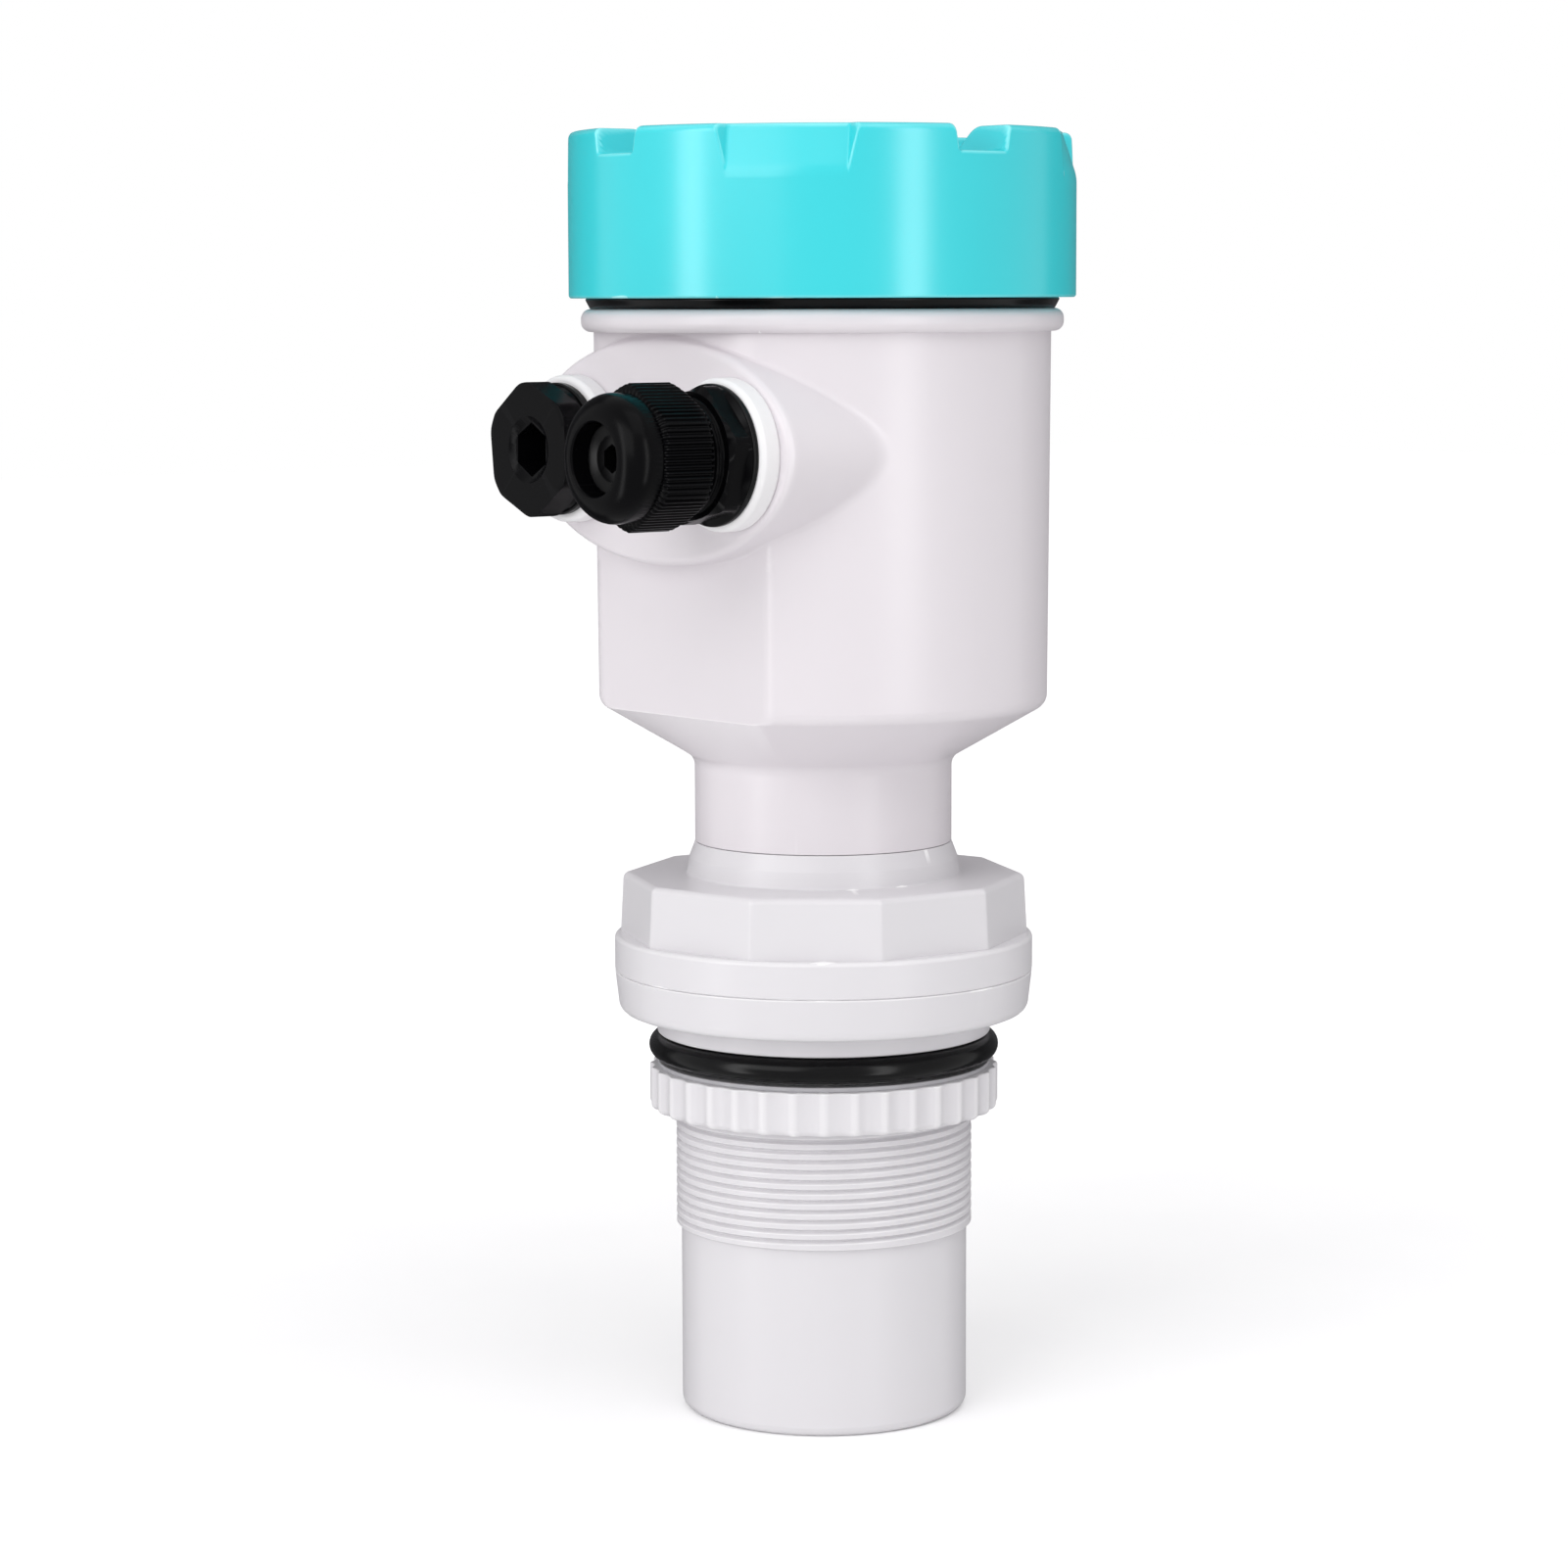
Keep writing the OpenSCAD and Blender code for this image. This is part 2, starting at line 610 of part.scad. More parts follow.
module blank_plug() color(NYLON_BLACK) at_entry(-1) difference() {
    union() {
        translate([0, 0, bushing_y - plug_len]) cylinder(d = entry_thread_d, h = plug_len + plug_gasket_h);
        translate([0, 0, plug_head_y]) cylinder(d = plug_gasket_d - 1, h = 1);
        translate([0, 0, plug_head_y + 1]) rotate(plug_turn)
            cut_hexagon(plug_af, plug_corner_d, plug_head_h - 1);
    }
    translate([0, 0, plug_head_y + plug_head_h - 3])
        cylinder(d1 = socket_af / cos(30), d2 = countersink_d, h = 3);
    translate([0, 0, plug_head_y + plug_head_h]) cylinder(d = countersink_d, h = eps);
    translate([0, 0, plug_head_y + plug_head_h - 3 - socket_depth]) rotate(plug_turn - 8)
        cylinder(d = socket_af / cos(30), h = socket_depth + 3, $fn = 6);
}

// ---- Process collar ----

module grip_slice(corner_d, z, h) translate([0, 0, z]) cylinder(d = corner_d, h = h, $fn = grip_sides);

// Ten-sided grip with drafted flats and a rounded top edge
module collar_grip() rotate(grip_turn) hull() {
    grip_slice(grip_corner_d, z_grip - 1, 1);
    grip_slice(grip_corner_d - grip_taper, z_flare - grip_edge, 0.01);
    grip_slice(grip_corner_d - grip_taper - 0.6 * grip_edge, z_flare - 0.3 * grip_edge, 0.01);
    grip_slice(grip_corner_d - grip_taper - 2 * grip_edge, z_flare - 0.01, 0.01);
}

module process_collar() color(HOUSING_GREY) difference() {
    union() {
        rotate_extrude() polygon(concat([[0, z_seam], [ring_r, z_seam]],
            rounded([ring_r, z_seam], [ring_r, z_grip], [0, z_grip], 0.9),
            [[0, z_grip]]));
        collar_grip();
        rotate_extrude() polygon([[0, z_grip], [flare_d / 2, z_grip], [flare_d / 2, z_flare],
            [flare_d / 2 - 0.4, z_flare + flare_h / 2],
            [neck_r, z_neck], [spigot_r, z_neck], [spigot_r, z_groove - neck_ring_d / 2 - snug],
            [groove_r, z_groove - neck_ring_d / 2 - snug], [groove_r, z_groove + neck_ring_d / 2 + snug],
            [spigot_r, z_groove + neck_ring_d / 2 + snug], [spigot_r, z_neck + spigot_h],
            [0, z_neck + spigot_h]]);
    }
    translate([0, 0, z_seam - eps]) cylinder(r = spigot_bore_r, h = z_neck + 2 * spigot_h - z_seam);
    translate([0, 0, z_seam - eps]) cylinder(r = gasket_in_r - 4, h = collar_hollow_h + eps);
}

module neck_oring() color(RUBBER_BLACK) rotate_extrude()
    translate([groove_r + snug / 2 + neck_ring_d / 2, z_groove]) circle(d = neck_ring_d, $fn = 32);

module collar_gasket() color(RUBBER_BLACK)
    ring(2 * gasket_in_r, 2 * (gasket_in_r + face_gasket_w), z_seam - face_gasket_h, face_gasket_h);

// ---- Sensor ----

module sensor_body() color(HOUSING_GREY) difference() {
    rotate_extrude() polygon(concat([[0, 0]],
        rounded([0, 0], [tube_r, 0], [tube_r, z_thread], tube_edge_r),
        [[tube_r, z_thread - 0.6], [thread_r, z_thread], [thread_r, z_nut - 0.5],
         [thread_r - thread_relief, z_nut - 0.5], [thread_r - thread_relief, z_shoulder],
         [shoulder_d / 2, z_shoulder], [shoulder_d / 2, z_ring]],
        rounded([shoulder_d / 2, z_ring], [ring_r - 1, z_ring], [ring_r, z_seam], ring_chamfer),
        [[ring_r, z_seam], [gasket_in_r + face_gasket_w + snug, z_seam],
         [gasket_in_r + face_gasket_w + snug, z_seam - face_gasket_h], [gasket_in_r - snug, z_seam - face_gasket_h],
         [gasket_in_r - snug, z_seam], [0, z_seam]]));
    translate([0, 0, tube_floor]) cylinder(r = sensor_bore_r, h = z_seam);
    translate([0, 0, z_ledge]) cylinder(r = board_seat_r, h = z_seam);
}

module mounting_oring() color(RUBBER_BLACK) {
    section = oring_d / 2 - thread_r - thread_play;
    rotate_extrude() translate([oring_d / 2 - section / 2, z_shoulder - section / 2 - 0.2])
        circle(d = section, $fn = 32);
}

module slip_washer() color("#C9C8CB")
    ring(2 * nut_bore_r, washer_d, z_nut + nut_h, washer_h);

module ring_nut() color(HOUSING_GREY) difference() {
    translate([0, 0, z_nut]) linear_extrude(nut_h) polygon([for (i = [0:6 * nut_flutes - 1])
        let (a = i * 60 / nut_flutes, r = nut_d / 2 - flute_depth * sin((i % 6) * 30))
        [r * cos(a), r * sin(a)]]);
    translate([0, 0, z_nut - eps]) cylinder(r = nut_bore_r, h = nut_h + 2 * eps);
}

// ---- Radar inside the sensor ----

module radar_board() color(BOARD_GREEN)
    translate([0, 0, z_ledge]) cylinder(r = board_seat_r - snug, h = board_h);

module antenna_horn() color("silver") rotate_extrude() polygon([
    [sensor_bore_r - snug - horn_wall, z_horn], [sensor_bore_r - snug, z_horn],
    [sensor_bore_r - snug, z_horn + 2], [throat_d / 2 + horn_wall, z_ledge - 8],
    [throat_d / 2 + 4, z_ledge - 8], [throat_d / 2 + 4, z_ledge], [throat_d / 2, z_ledge],
    [throat_d / 2, z_ledge - 8], [sensor_bore_r - snug - horn_wall, z_horn + 1]]);

// Plano-convex lens that lies on the sensor's floor
module antenna_lens() color("white") {
    edge_r = sensor_bore_r - snug;
    flat_r = edge_r - horn_wall - 0.8;
    dome_r = (flat_r * flat_r + lens_bulge * lens_bulge) / (2 * lens_bulge);
    half = asin(flat_r / dome_r);
    rotate_extrude() polygon(concat([[0, tube_floor], [edge_r, tube_floor], [edge_r, z_horn]],
        [for (i = [10:-1:0]) [dome_r * sin(half * i / 10),
            z_horn + lens_bulge - dome_r + dome_r * cos(half * i / 10)]]));
}

module signal_ribbon() color("#8C8C90") translate([-ribbon_w / 2, -ribbon_h / 2, z_radar_top])
    cube([ribbon_w, ribbon_h, z_cup - z_radar_top]);

// ---- Electronics in the head ----

module electronics_cup() color("#26272B") difference() {
    union() {
        difference() {
            translate([0, 0, z_cup]) cylinder(r = cavity_r - 2, h = cup_flange_h);
            translate([-cavity_r, -2 * cavity_r - cavity_flat_y + 2, z_cup - eps])
                cube([2 * cavity_r, 2 * cavity_r, cup_flange_h + 2 * eps]);
        }
        translate([0, 0, z_cup_flange]) cylinder(d = cup_d, h = cup_h);
    }
    at_posts() translate([0, 0, z_cup - eps]) cylinder(d = screw_d + 2 * snug, h = cup_flange_h + 2 * eps);
}

module cup_screws() color("silver") at_posts() difference() {
    union() {
        translate([0, 0, z_cup_flange]) cylinder(d = screw_head_d, h = screw_head_h);
        translate([0, 0, z_cup_flange - screw_len]) cylinder(d = screw_d, h = screw_len);
    }
    translate([-screw_head_d, -screw_slot / 2, z_cup_flange + screw_head_h - screw_slot])
        cube([2 * screw_head_d, screw_slot, 2 * screw_slot]);
}

module at_terminals() for (i = [0:terminals - 1])
    translate([(i - (terminals - 1) / 2) * terminal_pitch, 0, 0]) children();

module terminal_block() color("#3D9B5B") difference() {
    translate([-(terminals * terminal_pitch + 1.4) / 2, -terminal_y / 2, z_cup_top])
        cube([terminals * terminal_pitch + 1.4, terminal_y, terminal_h]);
    at_terminals() {
        translate([0, 0, z_terminal_hole]) cylinder(d = terminal_screw_d + 4 * snug, h = terminal_h);
        translate([0, 0, z_cup_top + wire_hole_d]) rotate([90, 0, 0])
            cylinder(d = wire_hole_d, h = terminal_y);
    }
}

module terminal_screws() color("silver") at_terminals() difference() {
    translate([0, 0, z_terminal_hole]) cylinder(d = terminal_screw_d, h = terminal_screw_h);
    translate([-terminal_screw_d, -screw_slot / 2, z_terminal_hole + terminal_screw_h - screw_slot])
        cube([2 * terminal_screw_d, screw_slot, 2 * screw_slot]);
}

module display_standoffs() color("#C8A95A") for (turn = standoff_turns) rotate(turn)
    translate([screw_ring_r, 0, z_cup_flange]) cylinder(d = 5.5 / cos(30), h = z_board - z_cup_flange, $fn = 6);

module display_board() color(BOARD_GREEN)
    translate([0, 0, z_board]) cylinder(d = display_d - 1, h = board_h);

module at_key(i) translate([(i - 2.5) * key_pitch, -key_y, 0]) children();

module display_frame() color("#2B2D31") difference() {
    rotate_extrude() polygon(concat([[0, z_frame], [display_d / 2, z_frame]],
        rounded([display_d / 2, z_frame], [display_d / 2, z_frame_top], [0, z_frame_top], 1),
        [[0, z_frame_top]]));
    translate([0, 0, z_frame - eps]) cylinder(d = display_d - 2 * display_wall, h = z_frame_roof - z_frame + eps);
    translate([-window_w / 2, window_y - window_l / 2, z_frame_roof - eps])
        cube([window_w, window_l, display_wall + 2 * eps]);
    for (i = [1:4]) at_key(i) translate([0, 0, z_frame_roof - eps])
        cylinder(d = key_d + 2 * thread_play, h = display_wall + 2 * eps);
}

module lcd_panel() color("#9FB49A") translate([-window_w / 2 - 2, window_y - window_l / 2 - 2, z_frame])
    cube([window_w + 4, window_l + 4, z_window - z_frame]);

module display_window() color("#DDE8EE", 0.4)
    translate([-window_w / 2 - 2, window_y - window_l / 2 - 2, z_window])
        cube([window_w + 4, window_l + 4, window_h]);

// Key cap held under the frame's top by its collar, on a stem over its switch
module key(i) color("#5C6067") at_key(i) rotate_extrude() polygon([
    [0, z_key_foot], [1.5, z_key_foot], [1.5, z_frame_roof - 1.2], [key_d / 2 + 1, z_frame_roof - 1.2],
    [key_d / 2 + 1, z_frame_roof], [key_d / 2, z_frame_roof], [key_d / 2, z_frame_top + key_proud - 0.5],
    [key_d / 2 - 0.5, z_frame_top + key_proud], [0, z_frame_top + key_proud]]);

module key_1() key(1);
module key_2() key(2);
module key_3() key(3);
module key_4() key(4);

lid();
lid_seal();
housing();
gland_bushing();
plug_bushing();
gland_gasket();
gland_body();
gland_seal();
gland_nut();
plug_gasket();
blank_plug();
process_collar();
neck_oring();
collar_gasket();
sensor_body();
mounting_oring();
slip_washer();
ring_nut();
radar_board();
antenna_horn();
antenna_lens();
signal_ribbon();
electronics_cup();
cup_screws();
terminal_block();
terminal_screws();
display_standoffs();
display_board();
display_frame();
lcd_panel();
display_window();
key_1();
key_2();
key_3();
key_4();
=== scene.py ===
# %% [markdown]
# # Dressing a radar level transmitter
#
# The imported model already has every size. This notebook lays the skins of the real
# instrument over it: a moulded turquoise lid on a pale housing, two cable entries, a
# ten-sided collar, and a threaded sensor tube with its nut and seal.

import json
import math

import bmesh
import bpy
import numpy as np
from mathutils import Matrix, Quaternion, Vector

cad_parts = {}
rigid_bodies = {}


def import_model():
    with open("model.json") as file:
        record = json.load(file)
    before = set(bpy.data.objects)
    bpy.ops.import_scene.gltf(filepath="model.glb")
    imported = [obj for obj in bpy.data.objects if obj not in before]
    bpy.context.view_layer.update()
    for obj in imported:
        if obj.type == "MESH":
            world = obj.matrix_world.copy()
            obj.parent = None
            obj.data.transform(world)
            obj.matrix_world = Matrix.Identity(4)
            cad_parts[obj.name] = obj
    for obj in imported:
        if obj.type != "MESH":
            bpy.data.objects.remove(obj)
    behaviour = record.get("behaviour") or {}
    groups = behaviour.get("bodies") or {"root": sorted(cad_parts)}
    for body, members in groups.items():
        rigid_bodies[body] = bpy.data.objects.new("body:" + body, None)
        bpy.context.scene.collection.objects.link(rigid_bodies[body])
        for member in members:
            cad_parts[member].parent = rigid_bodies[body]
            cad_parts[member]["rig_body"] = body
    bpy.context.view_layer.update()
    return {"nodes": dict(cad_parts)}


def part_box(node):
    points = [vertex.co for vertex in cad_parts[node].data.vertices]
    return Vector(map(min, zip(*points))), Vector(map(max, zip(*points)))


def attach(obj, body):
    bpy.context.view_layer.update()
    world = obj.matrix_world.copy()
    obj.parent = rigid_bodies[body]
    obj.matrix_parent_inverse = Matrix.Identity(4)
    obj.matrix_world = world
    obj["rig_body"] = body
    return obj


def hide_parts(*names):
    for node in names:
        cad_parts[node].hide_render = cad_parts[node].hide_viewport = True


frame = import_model()

# %% [markdown]
# ## Camera
#
# A small product looks calm through a long lens: upright lines stay nearly parallel. The
# camera stands 84 cm away, a little above the middle of the part, and looks slightly down.
# A camera looks along its own -Z, so `to_track_quat` turns that axis to the aim.

# %% Camera
VIEW_TURN = math.radians(50)
VIEW_DISTANCE = 0.8377
VIEW_HEIGHT = 0.225
AIM_HEIGHT = 0.1272
AIM_SIDE = 0.0079
ROLL = math.radians(-0.17)

lens = bpy.data.cameras.new("long_lens")
lens.lens = 96
lens.sensor_width = 36
camera = bpy.data.objects.new("camera", lens)
bpy.context.scene.collection.objects.link(camera)
toward = Vector((math.sin(VIEW_TURN), -math.cos(VIEW_TURN), 0))
sideways = Vector((math.cos(VIEW_TURN), math.sin(VIEW_TURN), 0))
camera.location = toward * VIEW_DISTANCE + Vector((0, 0, VIEW_HEIGHT))
aim = Vector((0, 0, AIM_HEIGHT)) - sideways * AIM_SIDE
look = (aim - camera.location).to_track_quat("-Z", "Y")
camera.rotation_euler = (look @ Quaternion((0, 0, 1), ROLL)).to_euler()
bpy.context.scene.camera = camera
print("Camera stands", round((aim - camera.location).length, 3), "m from its aim")

# %% [markdown]
# ## Colours and nodes
#
# Blender mixes light in linear values, while hex colours are written for a screen, so one
# function turns them over. Another adds a node: each input is either a plain value or the
# output of an earlier node, which keeps a whole material readable from top to bottom.

# %% Helpers for materials
def linear(code):
    """Turns an sRGB hex colour into linear red, green, blue and alpha."""
    values = [int(code[i:i + 2], 16) / 255 for i in (1, 3, 5)]
    return [v / 12.92 if v <= 0.04045 else ((v + 0.055) / 1.055) ** 2.4 for v in values] + [1]


def add(tree, kind, inputs=None, **attributes):
    """Adds a node, sets its attributes, and fills or links its inputs."""
    node = tree.nodes.new(kind)
    for key, value in attributes.items():
        setattr(node, key, value)
    for key, value in (inputs or {}).items():
        if isinstance(value, bpy.types.NodeSocket):
            tree.links.new(value, node.inputs[key])
        else:
            node.inputs[key].default_value = value
    return node


def blank(name):
    """Makes an empty material and returns it with its node tree."""
    material = bpy.data.materials.new(name)
    material.use_nodes = True
    material.node_tree.nodes.clear()
    return material, material.node_tree


def finish(tree, shader):
    """Joins a shader to the material's output."""
    add(tree, "ShaderNodeOutputMaterial", {"Surface": shader.outputs[0]})


def seen_rays(tree):
    """1 for a ray from the camera, in a reflection or through glass, and 0 for any other."""
    path = add(tree, "ShaderNodeLightPath").outputs
    seen = add(tree, "ShaderNodeMath", {0: path["Is Camera Ray"], 1: path["Is Glossy Ray"]},
               operation="MAXIMUM")
    seen = add(tree, "ShaderNodeMath", {0: seen.outputs[0], 1: path["Is Transmission Ray"]},
               operation="MAXIMUM")
    return seen.outputs[0]


def per_mm(size):
    """Texture scale at which a pattern repeats every `size` millimetres."""
    return 1000 / size


print("White plastic, linear:", [round(v, 3) for v in linear("#DEDCDF")[:3]])

# %% [markdown]
# ## Floor, backdrop and light
#
# The part stands on a pale floor under a white surround. Only what the camera sees, directly
# or in a reflection, is pushed to white; the light that falls on the part stays plain.
# The floor itself is left out of reflections, which see the white surround in its place.
# Two tall strips show only in reflections and give the upright bands on the round bodies. A
# big box beside the camera shapes the part, and one overhead lifts the faces that look up.

# %% World
AMBIENT = 0.78
world = bpy.data.worlds.new("studio")
bpy.context.scene.world = world
world.use_nodes = True
sky = world.node_tree
sky.nodes.clear()
ambient = add(sky, "ShaderNodeBackground", {"Color": linear("#FAF9FA"), "Strength": AMBIENT})
white = add(sky, "ShaderNodeBackground", {"Color": linear("#FFFFFF"), "Strength": 1.0})
both = add(sky, "ShaderNodeMixShader", {0: seen_rays(sky), 1: ambient.outputs[0], 2: white.outputs[0]})
add(sky, "ShaderNodeOutputWorld", {"Surface": both.outputs[0]})
bpy.context.scene.view_settings.view_transform = "Standard"
print("World ready")

# %% Floor
# The lift is small beside the part, where the shadow lies, and grows from GLOW_START to
# GLOW_END metres away from it.
GLOW_NEAR = 0.1
GLOW_FAR = 0.32
GLOW_START = 0.1
GLOW_END = 0.6
FLOOR_SIZE = 8
floor_paint, tree = blank("painted_white_floor")
speck = add(tree, "ShaderNodeTexNoise", {"Scale": per_mm(4), "Detail": 2})
tone = add(tree, "ShaderNodeMix", {0: speck.outputs[0], 6: linear("#F4F4F5"), 7: linear("#F8F8F8")},
           data_type="RGBA")
paint = add(tree, "ShaderNodeBsdfDiffuse", {"Color": tone.outputs[2]})
place = add(tree, "ShaderNodeTexCoord").outputs["Object"]
away = add(tree, "ShaderNodeVectorMath", {0: place}, operation="LENGTH").outputs["Value"]
amount = add(tree, "ShaderNodeMapRange", {"Value": away, "From Min": GLOW_START, "From Max": GLOW_END,
                                          "To Min": GLOW_NEAR, "To Max": GLOW_FAR},
             interpolation_type="SMOOTHSTEP")
glow = add(tree, "ShaderNodeMath", {0: seen_rays(tree), 1: amount.outputs[0]}, operation="MULTIPLY")
lift = add(tree, "ShaderNodeEmission", {"Color": linear("#FFFFFF"), "Strength": glow.outputs[0]})
share = add(tree, "ShaderNodeAddShader", {0: paint.outputs[0], 1: lift.outputs[0]})
finish(tree, share)

bpy.ops.mesh.primitive_plane_add(size=FLOOR_SIZE)
floor = bpy.context.object
floor.name = "floor"
floor.data.materials.append(floor_paint)
floor.visible_glossy = False
print("Floor", floor.dimensions[0], "m wide")

# %% [markdown]
# A soft box at an angle of `turn` from the camera, seen from the part, shines back at the
# camera where a round body has turned through half that angle.

# %% Soft boxes
def soft_box(name, turn, distance, height, width, tall, power, only_shines=False):
    """Adds an area light that stands `turn` degrees to the right of the camera."""
    box = bpy.data.lights.new(name, "AREA")
    box.shape = "RECTANGLE"
    box.size = width
    box.size_y = tall
    box.energy = power
    lamp = bpy.data.objects.new(name, box)
    bpy.context.scene.collection.objects.link(lamp)
    angle = VIEW_TURN + math.radians(turn)
    lamp.location = (distance * math.sin(angle), -distance * math.cos(angle), height)
    middle = Vector((0, 0, 0.13))
    lamp.rotation_euler = (middle - lamp.location).to_track_quat("-Z", "Y").to_euler()
    lamp.visible_diffuse = not only_shines
    print(name, "shines with", power, "W")


soft_box("left_strip", -59, 1.3, 0.1, 0.3, 1.8, 9.8, only_shines=True)
soft_box("right_strip", 40, 1.3, 0.1, 0.3, 1.8, 9.8, only_shines=True)
soft_box("front_fill", -34, 2.0, 1.0, 1.4, 1.4, 16.0)
soft_box("overhead", 20, 0.7, 1.5, 1.2, 1.2, 6.0)

# %% [markdown]
# Pale plastic would melt into a white surround at its outline, where every surface turns into
# a mirror. Two grey screens behind the part are seen in those reflections only, and draw the
# outline in a darker tone.

# %% Screens
screen_cloth, tree = blank("woven_grey_screen")
weave = add(tree, "ShaderNodeTexNoise", {"Scale": per_mm(3), "Detail": 1})
tone = add(tree, "ShaderNodeMix", {0: weave.outputs[0], 6: linear("#5A5A5C"), 7: linear("#666668")},
           data_type="RGBA")
finish(tree, add(tree, "ShaderNodeBsdfDiffuse", {"Color": tone.outputs[2]}))
for name, turn in (("left_screen", -149), ("right_screen", 149)):
    bpy.ops.mesh.primitive_plane_add(size=1)
    screen = bpy.context.object
    screen.name = name
    angle = VIEW_TURN + math.radians(turn)
    screen.scale = (1.2, 2.4, 1)
    screen.location = (math.sin(angle), -math.cos(angle), 0.1)
    screen.rotation_euler = (math.radians(90), 0, angle)
    screen.data.materials.append(screen_cloth)
    screen.visible_camera = False
    screen.visible_diffuse = False
    screen.visible_transmission = False
    screen.visible_shadow = False
print("Screens stand 1 m behind the part")

# %% [markdown]
# ## Plastics
#
# Most of the part is injection moulded. Its surface copies the mould: very fine spark
# texture, no directional grain, and a slightly uneven gloss where the melt cooled last.
# Pointy edges of the mesh get a paler colour, a painted highlight for the light that rounded edges catch.

# %% Moulded plastic
def moulded(name, colour, shade, edge, grain, gloss, uneven=0.03, depth=0.004, shine=0.5, edge_at=0.515):
    """A moulded plastic; `grain` is its texture size in mm, `depth` how deep that is in mm."""
    material, tree = blank(name)
    place = add(tree, "ShaderNodeTexCoord").outputs["Object"]
    cloud = add(tree, "ShaderNodeTexNoise", {"Vector": place, "Scale": per_mm(45), "Detail": 3})
    spark = add(tree, "ShaderNodeTexNoise", {"Vector": place, "Scale": per_mm(grain), "Detail": 3})
    tone = add(tree, "ShaderNodeMix", {0: cloud.outputs[0], 6: linear(colour), 7: linear(shade)},
               data_type="RGBA")
    # Where the mesh is pointy, the edge colour is mixed in: a painted highlight along rounded edges.
    point = add(tree, "ShaderNodeNewGeometry").outputs["Pointiness"]
    painted_edge_highlight = add(tree, "ShaderNodeMapRange", {"Value": point, "From Min": edge_at, "From Max": edge_at + 0.06})
    tone = add(tree, "ShaderNodeMix", {0: painted_edge_highlight.outputs[0], 6: tone.outputs[2], 7: linear(edge)},
               data_type="RGBA")
    matt = add(tree, "ShaderNodeMapRange", {"Value": cloud.outputs[0], "To Min": gloss - uneven,
                                            "To Max": gloss + uneven}, interpolation_type="SMOOTHSTEP")
    relief = add(tree, "ShaderNodeBump", {"Height": spark.outputs[0], "Distance": depth / 1000,
                                          "Strength": 0.5})
    shader = add(tree, "ShaderNodeBsdfPrincipled",
                 {"Base Color": tone.outputs[2], "Roughness": matt.outputs[0], "IOR": 1.5,
                  "Specular IOR Level": shine, "Normal": relief.outputs[0]})
    finish(tree, shader)
    return material


# The third colour of each plastic is its painted highlight on pointy edges.
turquoise_abs = moulded("moulded_turquoise_abs", "#33D0D8", "#2CCAD3", "#9CF1F3", 0.6, 0.235, 0.015,
                        edge_at=0.512)
grey_pbt = moulded("moulded_pale_grey_pbt", "#DED9DD", "#DBD6DA", "#F4F2F4", 0.7, 0.33, shine=0.35)
grey_pp = moulded("moulded_pale_grey_polypropylene", "#DAD8DB", "#D7D5D8", "#F4F3F4", 0.7, 0.33, shine=0.35)
white_nylon = moulded("moulded_white_nylon", "#EAE9EA", "#E7E6E7", "#F2F2F3", 0.5, 0.36, shine=0.35)
washer_acetal = moulded("turned_grey_acetal", "#B4B3B7", "#ACABAF", "#C2C1C5", 0.4, 0.4)
black_nylon = moulded("moulded_black_nylon", "#060608", "#050506", "#0C0C0E", 0.4, 0.24, 0.015,
                      shine=0.05, edge_at=0.53)
black_epdm = moulded("pressed_black_epdm", "#0B0B0C", "#080809", "#151516", 0.3, 0.22, 0.02, shine=0.12)
bezel_abs = moulded("moulded_dark_grey_abs", "#2B2D31", "#26282B", "#3A3D42", 0.6, 0.45)
key_silicone = moulded("pressed_grey_silicone", "#5C6067", "#555960", "#6B7078", 0.5, 0.6)
terminal_pa = moulded("moulded_green_polyamide", "#3D9B5B", "#368D52", "#58B173", 0.5, 0.42)
potting_resin = moulded("cast_black_epoxy", "#1B1C1F", "#141518", "#232428", 2.0, 0.24, 0.015, depth=0.02)
lens_ptfe = moulded("turned_white_ptfe", "#EDEEEC", "#E5E6E3", "#F3F4F2", 0.4, 0.5)
ribbon_pvc = moulded("pressed_grey_pvc", "#8C8C90", "#838387", "#9B9BA0", 0.4, 0.5)
print("Plastics:", len([m for m in bpy.data.materials if m.name.split("_")[0] in
                        ("moulded", "pressed", "turned", "cast")]))

# %% [markdown]
# ## Metals, circuit board and glass
#
# The inside is never far away: the lid comes off. A turned metal keeps fine rings from the
# lathe, which read as a bump that only changes with height. Solder mask is a green lacquer
# over etched copper, so the copper lifts it in a regular pattern.

# %% Turned metal
def turned_metal(name, colour, shade, feed, gloss):
    """A lathe-turned metal; `feed` is the distance between tool marks in mm."""
    material, tree = blank(name)
    place = add(tree, "ShaderNodeTexCoord").outputs["Object"]
    marks = add(tree, "ShaderNodeTexWave", {"Vector": place, "Scale": per_mm(feed) / 20,
                                            "Distortion": 0.6, "Detail": 2}, bands_direction="Z")
    smudge = add(tree, "ShaderNodeTexNoise", {"Vector": place, "Scale": per_mm(6), "Detail": 4})
    tone = add(tree, "ShaderNodeMix", {0: smudge.outputs[0], 6: linear(colour), 7: linear(shade)},
               data_type="RGBA")
    matt = add(tree, "ShaderNodeMapRange", {"Value": smudge.outputs[0], "To Min": gloss - 0.08,
                                            "To Max": gloss + 0.08})
    relief = add(tree, "ShaderNodeBump", {"Height": marks.outputs[0], "Distance": 0.00001,
                                          "Strength": 0.4})
    shader = add(tree, "ShaderNodeBsdfPrincipled",
                 {"Base Color": tone.outputs[2], "Metallic": 1.0, "Roughness": matt.outputs[0],
                  "Normal": relief.outputs[0]})
    finish(tree, shader)
    return material


steel = turned_metal("turned_stainless_steel", "#B9BABC", "#A3A4A7", 0.15, 0.28)
brass = turned_metal("turned_brass", "#C8A95A", "#B08F45", 0.2, 0.3)
aluminium = turned_metal("spun_aluminium", "#C9CBCE", "#B2B5B9", 0.4, 0.35)
print("Metals:", steel.name, brass.name, aluminium.name)

